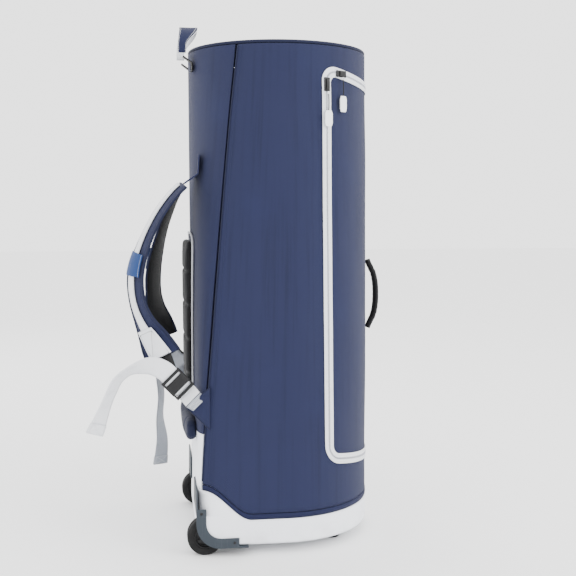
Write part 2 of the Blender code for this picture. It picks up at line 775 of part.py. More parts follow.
# ---- Shoulder straps ---------------------------------------------------------------------------------------
# The strap's middle line from the top down: x behind the rim, height, y as a share of the ladder lock's, and
# degrees of roll outwards.
STRAP_LINE = [
    (-0.0110, 0.706, 0.5864, 10),
    (-0.0310, 0.685, 0.5926, 12),
    (-0.0550, 0.650, 0.6049, 14),
    (-0.0770, 0.605, 0.6173, 16),
    (-0.0940, 0.555, 0.6296, 22),
    (-0.0995, 0.515, 0.6481, 25),
    (-0.0950, 0.475, 0.6790, 26),
    (-0.0830, 0.440, 0.7531, 34),
    (-0.0670, 0.408, 0.8642, 54),
    (-0.0520, 0.376, 0.9506, 78),
]
STRAP_ROUTE = [(x - BAG_RADIUS, z, share * LOCK_Y, roll) for x, z, share, roll in STRAP_LINE]
STRAP_BULGE = {"left": 1.1, "right": 0.55}  # the right strap hangs closer to the back
STRAP_ENDS = (STRAP_ROUTE[0][0], STRAP_ROUTE[-1][0])
STRAP_ANCHOR_Z = (0.752, 0.735)
STRAP_ANCHOR_THICK = 0.003
STRAP_ANCHOR_LIFT = STRAP_ANCHOR_THICK / 2 + 0.0001  # of its middle plane, off the highest point of the skin under it
LABEL_Z = (0.527, 0.572)


def strap_stations(side, sign, width, first=0.0, last=1.0, steps=22):
    """Stations along the strap, with the direction across it turned by its roll."""
    bulge = STRAP_BULGE[side]
    route = []
    for x, z, y, roll in STRAP_ROUTE:
        share = (STRAP_ROUTE[0][1] - z) / (STRAP_ROUTE[0][1] - STRAP_ROUTE[-1][1])
        chord = mixed(*STRAP_ENDS, share)
        route.append((mixed(chord, x, bulge), z, y, roll))
    dense = curve_through(route, steps)
    stations = []
    for i, (x, z, y, roll) in enumerate(dense):
        ahead, behind = dense[min(i + 1, steps)], dense[max(i - 1, 0)]
        along = Vector((ahead[0] - behind[0], 0, ahead[1] - behind[1])).normalized()
        outward = Vector((along.z, 0, -along.x))
        angle = math.radians(roll)
        across = outward * math.sin(angle) + Vector((0, -sign * math.cos(angle), 0))
        share = i / steps
        if first <= share <= last:
            stations.append(((x, sign * y, z), across * sign, width))
    return stations


LOCK_TOP = Vector((-BAG_RADIUS - 0.0385, 0.0, 0.3400))  # middle of the ladder lock's upper bar
LOCK_RUN = Vector((0.70, 0.0, -0.714)).normalized()  # from its upper bar to its lower bar
WING_TIP = Vector((-BAG_RADIUS + 0.0070, LOCK_Y + 0.008, 0.2936))  # on the line that the lock runs along


def lock_place(sign):
    """Matrix of a ladder lock: X along its run, Y along its bars, Z outwards to the side."""
    out = Vector((0, sign, 0))
    bars = out.cross(LOCK_RUN)
    turn = Matrix((LOCK_RUN, bars, out)).transposed().to_4x4()
    return Matrix.Translation(LOCK_TOP + Vector((0, sign * LOCK_Y, 0))) @ turn


def rectangle(low_x, high_x, low_y, high_y):
    return [(low_x, low_y), (high_x, low_y), (high_x, high_y), (low_x, high_y)]


TAIL_TWIST = {"left": 58, "right": 68}  # degrees that each tail turns about its own line
# Each tail's x behind the ladder lock, its height, and how far it stands outside the lock's middle.
TAIL_ROUTES = {
    "left": [
        (-0.0115, 0.352, 0.0065),
        (-0.0345, 0.362, 0.0080),
        (-0.0585, 0.360, 0.0090),
        (-0.0795, 0.3525, 0.0090),
        (-0.0985, 0.337, 0.0080),
        (-0.1115, 0.312, 0.0070),
        (-0.1235, 0.283, 0.0060),
        (-0.1345, 0.254, 0.0060),
        (-0.1420, 0.236, 0.0060),
    ],
    "right": [
        (-0.0085, 0.350, 0.0065),
        (-0.0165, 0.347, 0.0075),
        (-0.0215, 0.332, 0.0080),
        (-0.0195, 0.290, 0.0080),
        (-0.0145, 0.240, 0.0070),
        (-0.0175, 0.190, 0.0060),
        (-0.0125, 0.140, 0.0050),
        (-0.0165, 0.088, 0.0040),
    ],
}

for side, sign in SIDES.items():
    top_end = Vector((STRAP_ROUTE[0][0], sign * STRAP_ROUTE[0][2], STRAP_ROUTE[0][1]))
    swing = pivot(f"strap_axis_{side}", top_end)
    core = strap_stations(side, sign, STRAP_WIDTH)
    ribbon(f"strap_pad_{side}", core, STRAP_PAD, NAVY, swing, edge=0.004, across_steps=2)
    face = STRAP_PAD / 2 + 3 * GAP + WEBBING / 2
    webbing = strap_stations(side, sign, STRIPE_WIDTH, 0.03, 1.0)
    ribbon(f"strap_webbing_{side}", webbing, WEBBING, WHITE_WEBBING, swing, lift=face, across_steps=2)
    label = [s for s in strap_stations(side, sign, 0.030, steps=60) if LABEL_Z[0] <= s[0][2] <= LABEL_Z[1]]
    ribbon(f"strap_label_{side}", label, 0.001, LABEL_BLUE, swing, lift=face + WEBBING / 2 + GAP + 0.0005)

    length, width, thick = LOCK
    frame_outline = rectangle(-LOCK_BAR / 2, length - LOCK_BAR / 2, -width / 2, width / 2)
    slot = width / 2 - 0.0025
    middle = length / 2 - LOCK_BAR / 2
    slots = [
        rectangle(LOCK_BAR / 2, middle - LOCK_BAR / 2, -slot, slot),
        rectangle(middle + LOCK_BAR / 2, length - 1.5 * LOCK_BAR, -slot, slot),
    ]
    place = lock_place(sign)
    plate(f"ladder_lock_{side}", frame_outline, thick, place, BLACK_PLASTIC, swing, 0.0008, slots)

    # The adjuster webbing comes from the wing, goes out through the lower slot and leaves over the upper bar.
    bars = (place.to_3x3() @ Vector((0, 1, 0))).normalized()
    tip = Vector((WING_TIP.x, sign * WING_TIP.y, WING_TIP.z))
    start = tip - LOCK_RUN * WING_CLEAR
    off = thick / 2 + WEBBING_CLEAR
    through = [
        place @ Vector(point)
        for point in (
            (length, 0, -off),
            (length - 1.3 * LOCK_BAR, 0, -off),
            (0.65 * length, 0, 0),
            (middle, 0, off),
            (LOCK_BAR * 1.5, 0, off),
        )
    ]
    tail = [Vector((LOCK_TOP.x + x, sign * (LOCK_Y + y), z)) for x, z, y in TAIL_ROUTES[side]]
    route = curve_through([tuple(p) for p in (start, *through, *tail)], 40)
    stations = []
    for i, centre in enumerate(route):
        share = i / 40
        ahead, behind = route[min(i + 1, 40)], route[max(i - 1, 0)]
        along = (Vector(ahead) - Vector(behind)).normalized()
        untwist = 1 - 0.45 * eased((share - 0.81) / 0.19)
        twist = math.radians(TAIL_TWIST[side]) * eased((share - 0.41) / 0.25) * untwist
        flat = along.cross(Vector((0, sign, 0))).normalized()
        across = flat * math.cos(twist) + Vector((0, sign * math.sin(twist), 0))
        stations.append((centre, across, WEBBING_WIDTH - 0.001))
    ribbon(f"adjuster_webbing_{side}", stations, WEBBING, WHITE_WEBBING, swing)

    root = Vector((WING_X, sign * WING_ROOT_Y, 0))
    reach = Vector((tip.x, tip.y, 0)) - root
    outward_x = reach.normalized()
    turn = Matrix((outward_x, Vector((0, 0, 1)), outward_x.cross(Vector((0, 0, 1))))).transposed().to_4x4()
    half_edge = Vector((bars.x, bars.z)) * (WEBBING_WIDTH / 2)
    tip_edge = [(reach.length - half_edge.x * k, tip.z + half_edge.y * k) for k in (1, -1)]
    outline = [(0, WING_Z[0]), (0, WING_Z[1])] + sorted(tip_edge, key=lambda corner: -corner[1])
    plate(f"strap_wing_{side}", outline, 0.0025, Matrix.Translation(root) @ turn, NAVY)
    y = STRAP_ROUTE[0][2]
    anchor = [
        on_back(sign * y, z, WEBBING_WIDTH, STRAP_ANCHOR_LIFT + skin_rise(sign * y, z, WEBBING_WIDTH))
        for z in STRAP_ANCHOR_Z
    ]
    anchor.append((top_end + Vector((0.008, 0, 0.010)), (0, 1, 0), WEBBING_WIDTH - 0.006))
    ribbon(f"strap_anchor_{side}", anchor, STRAP_ANCHOR_THICK, DARK_NAVY)


# ---- Back pad, piping and lumbar bolster -------------------------------------------------------------------
def cushion(name, low, high, half, thickness, finish, corner, columns=10, rows=8):
    """A pad that lies on the back skin, with rounded corners in its outline."""

    def place(i, j):
        across, up = 2 * i / columns - 1, 2 * j / rows - 1
        reach = (abs(across) ** corner + abs(up) ** corner) ** (1 / corner)
        largest = max(abs(across), abs(up))
        scale = largest / reach if reach else 1.0
        y = -across * scale * half
        z = (low + high) / 2 + up * scale * (high - low) / 2
        return Vector((back_x(y, z) - 0.0012, y, z))

    pad = add(name, grid(name, columns, rows, place), finish)
    solidify(pad, thickness, 1)
    bevel(pad, thickness * 0.35)
    return pad


cushion("back_pad", *PAD_Z, PAD_HALF_WIDTH, PAD, BLACK, 8)
cushion("lumbar_bolster", *LUMBAR_Z, LUMBAR_HALF_WIDTH, LUMBAR, DARK_NAVY, 6, rows=4)

piping_radius = 0.002
piping = []
middle_z, half_z = sum(PAD_Z) / 2, (PAD_Z[1] - PAD_Z[0]) / 2 + 0.007
for i in range(48):
    turn = 2 * math.pi * i / 48
    power = 2 / 8
    y = math.copysign(abs(math.cos(turn)) ** power, math.cos(turn)) * (PAD_HALF_WIDTH + 0.007)
    z = middle_z + math.copysign(abs(math.sin(turn)) ** power, math.sin(turn)) * half_z
    piping.append(Vector((back_x(y, z) - piping_radius - 0.0012, y, z)))
tube("pad_piping", piping, piping_radius, GREY_PIPING, cyclic=True)


# ---- Wheels, housings and guards ---------------------------------------------------------------------------
def arc(centre, radius, start, end, steps=8):
    return [
        (centre[0] + radius * math.cos(a), centre[1] + radius * math.sin(a))
        for a in (math.radians(mixed(start, end, i / steps)) for i in range(steps + 1))
    ]


GUARD_BACK_X = -BACK_DEPTH - GAP - GUARD  # outer face of the flange behind


def housing_outline(grow):
    """Side view of a housing, x and z: square to the front and the top, round at the lower back corner."""
    back, front = -BACK_DEPTH - grow, HOUSING_FRONT_X + grow
    low, high = BASE_Z - grow, HOUSING_TOP_Z + grow
    radius = HOUSING_CORNER + grow
    return [(front, low), (front, high), (back, high)] + arc((back + radius, low + radius), radius, 180, 270)


def side_plate(name, outline, low_y, high_y, sign, finish=None, edge=0.0, carrier=None):
    """An outline in x and z, given thickness from low_y to high_y on one side of the bag."""
    turn = Matrix(((1, 0, 0), (0, 0, -1), (0, 1, 0))).to_4x4()
    middle = sign * (low_y + high_y) / 2
    return plate(name, outline, high_y - low_y, Matrix.Translation((0, middle, 0)) @ turn, finish, carrier, edge)


def to_cutter(obj):
    PARTS.objects.unlink(obj)
    CUTTERS.objects.link(obj)
    obj.hide_render = True
    obj.display_type = "WIRE"
    return obj


def across_cylinder(name, radius, low_y, high_y, sign, x, z, segments, finish, carrier=None):
    bm = disc(name, radius, high_y - low_y, segments)
    turn = Matrix.Rotation(math.pi / 2, 4, "X")
    place = Matrix.Translation((x, sign * (low_y + high_y) / 2, z)) @ turn
    bmesh.ops.transform(bm, verts=bm.verts, matrix=place)
    return add(name, mesh_from(bm, name), finish, carrier)


def turned_across(name, profile, sign, middle_y, x, z, finish, carrier, segments=32):
    """A turned piece about an axis along Y. profile is (radius, place along the axis), closed on itself."""
    bm = bmesh.new()
    loop = [bm.verts.new((radius, along, 0)) for radius, along in profile]
    edges = [bm.edges.new((loop[i], loop[(i + 1) % len(loop)])) for i in range(len(loop))]
    bmesh.ops.spin(
        bm, geom=loop + edges, cent=(0, 0, 0), axis=(0, 1, 0), angle=2 * math.pi, steps=segments, use_merge=True
    )
    bmesh.ops.remove_doubles(bm, verts=bm.verts, dist=1e-6)
    bmesh.ops.translate(bm, verts=bm.verts, vec=(x, sign * middle_y, z))
    return add(name, mesh_from(bm, name, True), finish, carrier)


WHEEL_Z = WHEEL_RADIUS
wheel_y = (HOUSING_INNER_Y + HOUSING_OUTER_Y) / 2
HUB_RADIUS = 0.022
TYRE_GAP = 0.0003

for side, sign in SIDES.items():
    housing = side_plate(
        f"wheel_housing_{side}", housing_outline(0), HOUSING_INNER_Y, HOUSING_OUTER_Y, sign, WHITE
    )
    well = across_cylinder(
        f"wheel_well_{side}",
        WHEEL_RADIUS + WHEEL_CLEAR,
        HOUSING_INNER_Y + HOUSING_WALL,
        HOUSING_OUTER_Y - HOUSING_WALL,
        sign,
        WHEEL_X,
        WHEEL_Z,
        40,
        BLACK_PLASTIC,
    )
    boolean(housing, to_cutter(well))
    axle_hole = across_cylinder(
        f"axle_hole_{side}", AXLE_RADIUS + GAP / 2, HOUSING_INNER_Y - 0.01, HOUSING_OUTER_Y + 0.01, sign,
        WHEEL_X, WHEEL_Z, 24, BLACK_PLASTIC,
    )
    boolean(housing, to_cutter(axle_hole))
    pocket_outline = rectangle(-BACK_DEPTH - 0.02, HOUSING_FRONT_X + GAP, BASE_Z - 0.01, HOUSING_TOP_Z + GAP)
    pocket = side_plate(
        f"tub_pocket_{side}", pocket_outline, HOUSING_INNER_Y - GAP, HOUSING_OUTER_Y + 0.03, sign, WHITE
    )
    boolean(base_tub, to_cutter(pocket))
    boolean(base_board, pocket)

    spin = pivot(f"wheel_axis_{side}", Vector((WHEEL_X, sign * wheel_y, WHEEL_Z)))
    half = WHEEL_WIDTH / 2
    crown = 0.006
    tyre_profile = [
        (HUB_RADIUS + TYRE_GAP, -half),
        (WHEEL_RADIUS - crown, -half),
        (WHEEL_RADIUS - crown * 0.3, -half + crown * 0.35),
        (WHEEL_RADIUS, -half + crown),
        (WHEEL_RADIUS, half - crown),
        (WHEEL_RADIUS - crown * 0.3, half - crown * 0.35),
        (WHEEL_RADIUS - crown, half),
        (HUB_RADIUS + TYRE_GAP, half),
    ]
    turned_across(f"tyre_{side}", tyre_profile, sign, wheel_y, WHEEL_X, WHEEL_Z, RUBBER, spin, 40)
    bore = AXLE_RADIUS + BEARING_CLEAR
    hub_profile = [
        (bore, -half + 0.001),
        (0.008, -half + 0.001),
        (0.010, -half + 0.004),
        (HUB_RADIUS - 0.004, -half + 0.004),
        (HUB_RADIUS, -half + 0.001),
        (HUB_RADIUS, half - 0.001),
        (HUB_RADIUS - 0.004, half - 0.004),
        (0.010, half - 0.004),
        (0.008, half - 0.001),
        (bore, half - 0.001),
    ]
    turned_across(f"wheel_hub_{side}", hub_profile, sign, wheel_y, WHEEL_X, WHEEL_Z, BLACK_PLASTIC, spin, 32)
    across_cylinder(
        f"wheel_axle_{side}", AXLE_RADIUS, HOUSING_INNER_Y - 0.002, HOUSING_OUTER_Y, sign, WHEEL_X, WHEEL_Z, 32, STEEL
    )

    # The guard is an L seen from the side, a flange behind and a plate under the floor, joined into one.
    outer_y = HOUSING_OUTER_Y + GAP
    arm, top_z = GUARD_ARM, GUARD_TOP_Z
    toe_x = HOUSING_FRONT_X + GUARD_TOE
    low_z = BASE_Z - GAP - GUARD
    back = GUARD_BACK_X
    reach = HOUSING_CORNER + GAP + GUARD
    outline = [(back, top_z), (back + arm, top_z)]
    outline += arc((back + arm + reach - arm, low_z + arm + reach - arm), reach - arm, 180, 270, 6)
    outline += [(toe_x, low_z + arm), (toe_x, low_z)]
    outline += arc((back + reach, low_z + reach), reach, 270, 180)
    guard = side_plate(f"corner_guard_{side}", outline, outer_y, outer_y + GUARD, sign, GUARD_GREY)
    flange = block(
        f"guard_flange_{side}",
        (GUARD, outer_y + GUARD - GUARD_FLANGE_Y, BORDER_HIGH_Z - HOUSING_TOP_Z),
        (back + GUARD / 2, sign * (GUARD_FLANGE_Y + outer_y + GUARD) / 2, (BORDER_HIGH_Z + HOUSING_TOP_Z) / 2),
        Matrix.Identity(4),
        GUARD_GREY,
    )
    sole_x = (HOUSING_FRONT_X - 0.006, toe_x + GUARD_TOE)
    sole = block(
        f"guard_sole_{side}",
        (sole_x[1] - sole_x[0], outer_y + GUARD - HOUSING_INNER_Y, GUARD),
        (sum(sole_x) / 2, sign * (HOUSING_INNER_Y + outer_y + GUARD) / 2, low_z + GUARD / 2),
        Matrix.Identity(4),
        GUARD_GREY,
    )
    for piece in (flange, sole):
        boolean(guard, to_cutter(piece), "UNION")

    foot_profile = [
        (0.0, BASE_Z - GAP / 2),
        (FOOT_RADIUS, BASE_Z - GAP / 2),
        (FOOT_RADIUS - 0.001, 0.006),
        (FOOT_RADIUS - 0.004, 0.0),
        (0.0, 0.0),
    ]
    foot = bmesh.new()
    line = [foot.verts.new((FOOT_X + radius, sign * FOOT_Y, z)) for radius, z in foot_profile]
    edges = [foot.edges.new((line[i], line[i + 1])) for i in range(len(line) - 1)]
    bmesh.ops.spin(
        foot,
        geom=line + edges,
        cent=(FOOT_X, sign * FOOT_Y, 0),
        axis=(0, 0, 1),
        angle=2 * math.pi,
        steps=28,
        use_merge=True,
    )
    bmesh.ops.remove_doubles(foot, verts=foot.verts, dist=1e-6)
    add(f"front_foot_{side}", mesh_from(foot, "front_foot", True), BLACK_PLASTIC)

for obj in PARTS.objects:
    if obj.type == "MESH":
        smooth_shading(obj)
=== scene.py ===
# %% [markdown]
# # A wheeled board backpack
# A tall round bag of coated navy cloth stands on two small wheels and two front feet. Its front opens as a zipped
# flap, and two padded straps hang behind. The imported model gives every size and every joint, and this script
# gives each piece its sewn, moulded or woven surface. The imported model comes in first, because every piece
# below is placed from it.

# %% Load the imported model
import math

import bmesh
import bpy
from mathutils import Matrix, Vector, noise


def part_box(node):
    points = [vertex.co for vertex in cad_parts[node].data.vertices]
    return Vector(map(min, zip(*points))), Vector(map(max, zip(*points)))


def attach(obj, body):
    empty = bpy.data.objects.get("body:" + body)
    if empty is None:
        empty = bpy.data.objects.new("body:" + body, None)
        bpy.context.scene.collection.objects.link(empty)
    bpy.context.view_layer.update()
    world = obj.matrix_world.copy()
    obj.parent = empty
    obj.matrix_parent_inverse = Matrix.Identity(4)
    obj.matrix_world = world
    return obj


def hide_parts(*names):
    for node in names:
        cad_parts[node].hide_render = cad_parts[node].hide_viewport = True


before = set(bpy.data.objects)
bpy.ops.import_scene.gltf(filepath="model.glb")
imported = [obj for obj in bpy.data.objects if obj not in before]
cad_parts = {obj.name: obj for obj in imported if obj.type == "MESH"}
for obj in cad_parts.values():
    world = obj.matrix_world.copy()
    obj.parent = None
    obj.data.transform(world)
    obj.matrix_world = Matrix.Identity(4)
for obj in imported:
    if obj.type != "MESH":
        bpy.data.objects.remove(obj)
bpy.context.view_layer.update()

SIDES = {"left": -1, "right": 1}

# %% [markdown]
# ## Camera, floor and light
# A tall object seen from two metres keeps its upright lines upright when the camera is level, so the camera
# looks straight ahead at chest height and its shift moves the frame down. The light is a soft studio: one
# large lamp from the front of the bag, a weaker one from behind, and a bright plain room.

# %% Place the camera
AXIS_X = sum(corner[0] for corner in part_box("top_cap")) / 2
CAMERA_PLACE = (AXIS_X - 0.258, -2.014, 0.668)
CAMERA_TURN = math.radians(8.0)  # towards the bag's back

camera = bpy.data.objects.new("camera", bpy.data.cameras.new("camera"))
camera.data.lens = 60.4
camera.data.shift_y = -0.1455
camera.location = CAMERA_PLACE
camera.rotation_euler = (math.pi / 2, 0, -CAMERA_TURN)
bpy.context.scene.collection.objects.link(camera)
bpy.context.scene.camera = camera
print("camera at", [round(value, 3) for value in camera.location])


# %% Build the floor and the lights
def lamp(name, place, aim, size, power, colour=(1, 1, 1)):
    data = bpy.data.lights.new(name, "AREA")
    data.shape = "DISK"
    data.size = size
    data.energy = power
    data.color = colour
    obj = bpy.data.objects.new(name, data)
    obj.location = place
    obj.rotation_euler = (Vector(aim) - Vector(place)).to_track_quat("-Z", "Y").to_euler()
    bpy.context.scene.collection.objects.link(obj)
    return obj


lamp("key", (2.2, -1.9, 1.7), (0, 0, 0.45), 1.6, 60)
lamp("fill", (-2.4, -1.6, 1.4), (0, 0, 0.5), 1.8, 8)
lamp("back", (-1.2, 2.4, 2.0), (0, 0, 0.6), 1.6, 20)
lamp("top", (0.2, -0.2, 2.9), (0, 0, 0.5), 1.8, 12)

world = bpy.data.worlds.new("studio")
bpy.context.scene.world = world
world.use_nodes = True
world.node_tree.nodes["Background"].inputs["Color"].default_value = (1, 1, 1, 1)
world.node_tree.nodes["Background"].inputs["Strength"].default_value = 2.6

floor_shape = bmesh.new()
bmesh.ops.create_grid(floor_shape, x_segments=1, y_segments=1, size=12)
floor_mesh = bpy.data.meshes.new("floor")
floor_shape.to_mesh(floor_mesh)
floor_shape.free()
floor = bpy.data.objects.new("floor", floor_mesh)
bpy.context.scene.collection.objects.link(floor)
floor_finish = bpy.data.materials.new("floor")
floor_finish.use_nodes = True
floor_finish.node_tree.nodes["Principled BSDF"].inputs["Base Color"].default_value = (0.93, 0.93, 0.93, 1)
floor_finish.node_tree.nodes["Principled BSDF"].inputs["Roughness"].default_value = 0.7
floor_mesh.materials.append(floor_finish)
print("four lamps and a floor")

# %% [markdown]
# ## Writing materials as expressions
# A cloth's pattern is arithmetic on its coordinates, and arithmetic reads best as an expression. `Value`
# wraps one socket, so that `mask * 0.3 + 0.7` adds its Math nodes, and `Finish.node` makes any other node.
# Settings go in before sockets, because some nodes change their sockets with their mode.


# %% Wrap sockets in expressions
class Value:
    """A number that varies over a surface."""

    def __init__(self, finish, socket):
        self.finish = finish
        self.socket = socket

    def math(self, operation, *others):
        sockets = dict(enumerate((self, *others)))
        return Value(self.finish, self.finish.node("ShaderNodeMath", {"operation": operation}, sockets).outputs[0])

    def __add__(self, other):
        return self.math("ADD", other)

    def __mul__(self, other):
        return self.math("MULTIPLY", other)

    def __sub__(self, other):
        return self.math("SUBTRACT", other)

    def __rsub__(self, other):
        return (self * -1) + other

    __radd__ = __add__
    __rmul__ = __mul__

    def step(self, low, high):
        """0 below low and 1 above high, smooth between."""
        settings = {"interpolation_type": "SMOOTHSTEP"}
        made = self.finish.node("ShaderNodeMapRange", settings, {"Value": self, "From Min": low, "From Max": high})
        return Value(self.finish, made.outputs[0])


class Finish:
    """A Principled material whose varying parts are written as expressions."""

    def __init__(self, name, colour, roughness, **constants):
        self.material = bpy.data.materials.new(name)
        self.material.use_nodes = True
        self.tree = self.material.node_tree
        self.shader = self.tree.nodes["Principled BSDF"]
        self.colour = colour
        self.set("Base Color", (*colour, 1))
        self.set("Roughness", roughness)
        for socket, value in constants.items():
            self.set(socket.replace("_", " "), value)

    def set(self, socket, value):
        target = self.shader.inputs[socket]
        if isinstance(value, Value):
            self.tree.links.new(value.socket, target)
        else:
            target.default_value = value

    def node(self, kind, settings=None, sockets=None):
        made = self.tree.nodes.new(kind)
        for key, value in (settings or {}).items():
            setattr(made, key, value)
        for key, value in (sockets or {}).items():
            if isinstance(value, Value):
                self.tree.links.new(value.socket, made.inputs[key])
            else:
                made.inputs[key].default_value = value
        return made

    def at(self, uv="", scale=(1, 1, 1)):
        """Coordinates: the named UV map in metres, or the object's own, stretched by scale."""
        source = self.node("ShaderNodeUVMap", {"uv_map": uv}) if uv else self.node("ShaderNodeTexCoord")
        out = source.outputs["UV" if uv else "Object"]
        return Value(self, self.node("ShaderNodeMapping", None, {"Vector": Value(self, out), "Scale": scale}).outputs[0])

    def noise(self, coordinates, scale, detail=3.0, rough=0.55):
        sockets = {"Vector": coordinates, "Scale": scale, "Detail": detail, "Roughness": rough}
        return Value(self, self.node("ShaderNodeTexNoise", None, sockets).outputs["Fac"])

    def split(self, coordinates):
        parts = self.node("ShaderNodeSeparateXYZ", None, {"Vector": coordinates})
        return [Value(self, out) for out in parts.outputs]

    def wave(self, number, pitch):
        """1 at the middle of each rib of a pitch, 0 between ribs."""
        return (number * (2 * math.pi / pitch)).math("SINE") * 0.5 + 0.5

    def tint(self, *layers):
        """Base Color as the first colour with others laid on it, each by its mask."""
        colour = Value(self, self.node("ShaderNodeRGB").outputs[0])
        colour.socket.default_value = (*self.colour, 1)
        for over, mask in layers:
            settings = {"data_type": "RGBA", "blend_type": "MIX"}
            mix = self.node("ShaderNodeMix", settings, {0: mask, 6: colour, 7: (*over, 1)})
            colour = Value(self, mix.outputs[2])
        self.set("Base Color", colour)

    def bump(self, height, distance, strength=1.0):
        sockets = {"Height": height, "Distance": distance, "Strength": strength}
        self.set("Normal", Value(self, self.node("ShaderNodeBump", None, sockets).outputs[0]))


print("expressions ready")

# %% [markdown]
# ## Cloths, webbings and plastics
# The bag is cut from a plain weave of coarse navy yarn with a soft coating: each yarn crossing is a low bump,
# and the dye varies a little along the warp, which shows as faint upright streaks. The base is the white
# tarpaulin of boats and banners, where a grid of threads shows through a smooth skin. Webbing has ribs across
# it. Every pattern follows the cloth's own UV map in metres, so that it keeps its scale on every piece.


# %% Define the woven finishes
def weave(finish, coordinates, pitch):
    """Height of a plain weave: yarns pass over and under each other like a chessboard."""
    across, along, _ = finish.split(coordinates)
    warp = finish.wave(across, pitch)
    weft = finish.wave(along, pitch)
    over = (across * (math.pi / pitch)).math("SINE") * (along * (math.pi / pitch)).math("SINE")
    chess = over.step(-0.25, 0.25)
    return warp * chess + weft * (1 - chess)


def cloth(name, colour, light, streak, pitch=0.0011, roughness=0.72, depth=0.00022):
    finish = Finish(name, colour, roughness, Sheen_Weight=0.04, Specular_IOR_Level=0.18)
    plain = finish.at("cloth")
    long_dye = finish.noise(finish.at("cloth", (1, 0.035, 1)), 95, 4)
    cloud = finish.noise(plain, 5, 3)
    yarns = weave(finish, plain, pitch)
    finish.tint((streak, long_dye.step(0.45, 0.75) * 0.55), (light, cloud.step(0.5, 0.8) * 0.3 + yarns * 0.22))
    finish.set("Roughness", cloud * 0.16 + (roughness - 0.08))
    finish.bump(yarns + long_dye * 0.5, depth)
    return finish.material


NAVY = cloth("navy_weave", (0.0095, 0.0125, 0.041), (0.0165, 0.0220, 0.068), (0.0045, 0.0065, 0.024))
HEM_CLOTH = cloth("hem_weave", (0.0055, 0.0080, 0.034), (0.0100, 0.0140, 0.052), (0.0030, 0.0045, 0.020), 0.0014)
BINDING = cloth("binding_weave", (0.005, 0.007, 0.024), (0.012, 0.016, 0.048), (0.003, 0.005, 0.016), 0.0014)
BLACK_CLOTH = cloth("black_weave", (0.005, 0.005, 0.006), (0.014, 0.014, 0.016), (0.003, 0.003, 0.004), 0.0012)


def webbing(name, colour, shade):
    finish = Finish(name, colour, 0.62, Sheen_Weight=0.06, Specular_IOR_Level=0.25)
    across, along, _ = finish.split(finish.at("cloth"))
    ribs = finish.wave(along, 0.0016)
    cords = finish.wave(across, 0.0031)
    worn = finish.noise(finish.at("cloth"), 60, 4)
    finish.tint((shade, (1 - ribs) * 0.55 + worn.step(0.52, 0.8) * 0.35))
    finish.bump(ribs * 0.7 + cords * 0.5, 0.0003)
    return finish.material


WHITE_WEBBING = webbing("white_webbing", (0.80, 0.81, 0.84), (0.52, 0.54, 0.58))
# The grey webbing is the wing tabs' own grey. On the right adjuster tail it is painted shade: that tail is white
# webbing hanging in shadow.
GREY_AND_SHADED_WEBBING = webbing("grey_webbing", (0.34, 0.36, 0.40), (0.20, 0.22, 0.25))
BLACK_WEBBING = webbing("black_webbing", (0.0055, 0.0055, 0.0065), (0.0020, 0.0020, 0.0024))


def tarpaulin(name, uv):
    finish = Finish(name, (0.82, 0.84, 0.89), 0.42)
    across, along, _ = finish.split(finish.at(uv))
    threads = finish.wave(across, 0.0024).math("MAXIMUM", finish.wave(along, 0.0024))
    cloud = finish.noise(finish.at(uv), 14, 4)
    height = finish.split(finish.at())[2]
    # Darker towards the bottom: grey patches below about six centimetres, fading out above.
    low_darkening = (1 - height.step(0.02, 0.06)) * cloud.step(0.42, 0.7)
    scuff = finish.noise(finish.at(uv, (1, 0.2, 1)), 120, 5).step(0.66, 0.78)
    finish.tint(((0.68, 0.70, 0.76), cloud.step(0.45, 0.8) * 0.4), ((0.42, 0.42, 0.42), low_darkening * 0.35 + scuff * 0.12))
    finish.set("Roughness", cloud * 0.2 + 0.34)
    finish.bump(threads + cloud * 2.0, 0.00012)
    return finish.material


WHITE = tarpaulin("white_tarpaulin", "cloth")
HOUSING_WHITE = tarpaulin("housing_tarpaulin", "")
print("cloth, webbing and tarpaulin")

# %% [markdown]
# Moulded parts carry a fine spark-eroded grain, and their edges polish with use. The corner guards were drawn
# with fine upright brush lines in their tool. Rubber is grainy and greyer where it rolls.


# %% Define the moulded, metal and thread finishes
def plastic(name, colour, roughness, worn=(0.10, 0.10, 0.11), lines=None):
    finish = Finish(name, colour, roughness, Specular_IOR_Level=0.3)
    grain = finish.noise(finish.at(), 2600, 2)
    cloud = finish.noise(finish.at(), 40, 4)
    marks = finish.noise(finish.at("", lines or (1, 1, 1)), 520 if lines else 160, 4)
    finish.tint((worn, marks.step(0.52, 0.72) * (0.5 if lines else 0.25) + cloud.step(0.6, 0.8) * 0.1))
    finish.set("Roughness", cloud * 0.2 + marks * 0.15 + (roughness - 0.17))
    finish.bump(grain * 0.6 + marks, 0.00008)
    return finish.material


BLACK_PLASTIC = plastic("black_plastic", (0.0040, 0.0040, 0.0048), 0.48, (0.020, 0.020, 0.022))
GUARD = plastic("guard_plastic", (0.020, 0.027, 0.036), 0.55, (0.042, 0.052, 0.064), (1, 1, 0.03))
TAG_PLASTIC = plastic("tag_plastic", (0.80, 0.81, 0.84), 0.45, (0.60, 0.61, 0.65))
BOARD = plastic("board_plastic", (0.16, 0.17, 0.18), 0.6, (0.28, 0.29, 0.30))


def rubber():
    finish = Finish("tyre_rubber", (0.0045, 0.0045, 0.0050), 0.78, Specular_IOR_Level=0.25)
    coarse = finish.noise(finish.at(), 900, 4)
    cloud = finish.noise(finish.at(), 60, 3)
    finish.tint(((0.022, 0.021, 0.020), cloud.step(0.5, 0.8) * 0.5))
    finish.set("Roughness", coarse * 0.2 + 0.66)
    finish.bump(coarse, 0.00015)
    return finish.material


def steel():
    finish = Finish("steel", (0.58, 0.58, 0.60), 0.28, Metallic=1.0)
    lines = finish.noise(finish.at("", (1, 0.05, 1)), 900, 3)
    finish.set("Roughness", lines * 0.25 + 0.18)
    finish.bump(lines, 0.00003)
    return finish.material


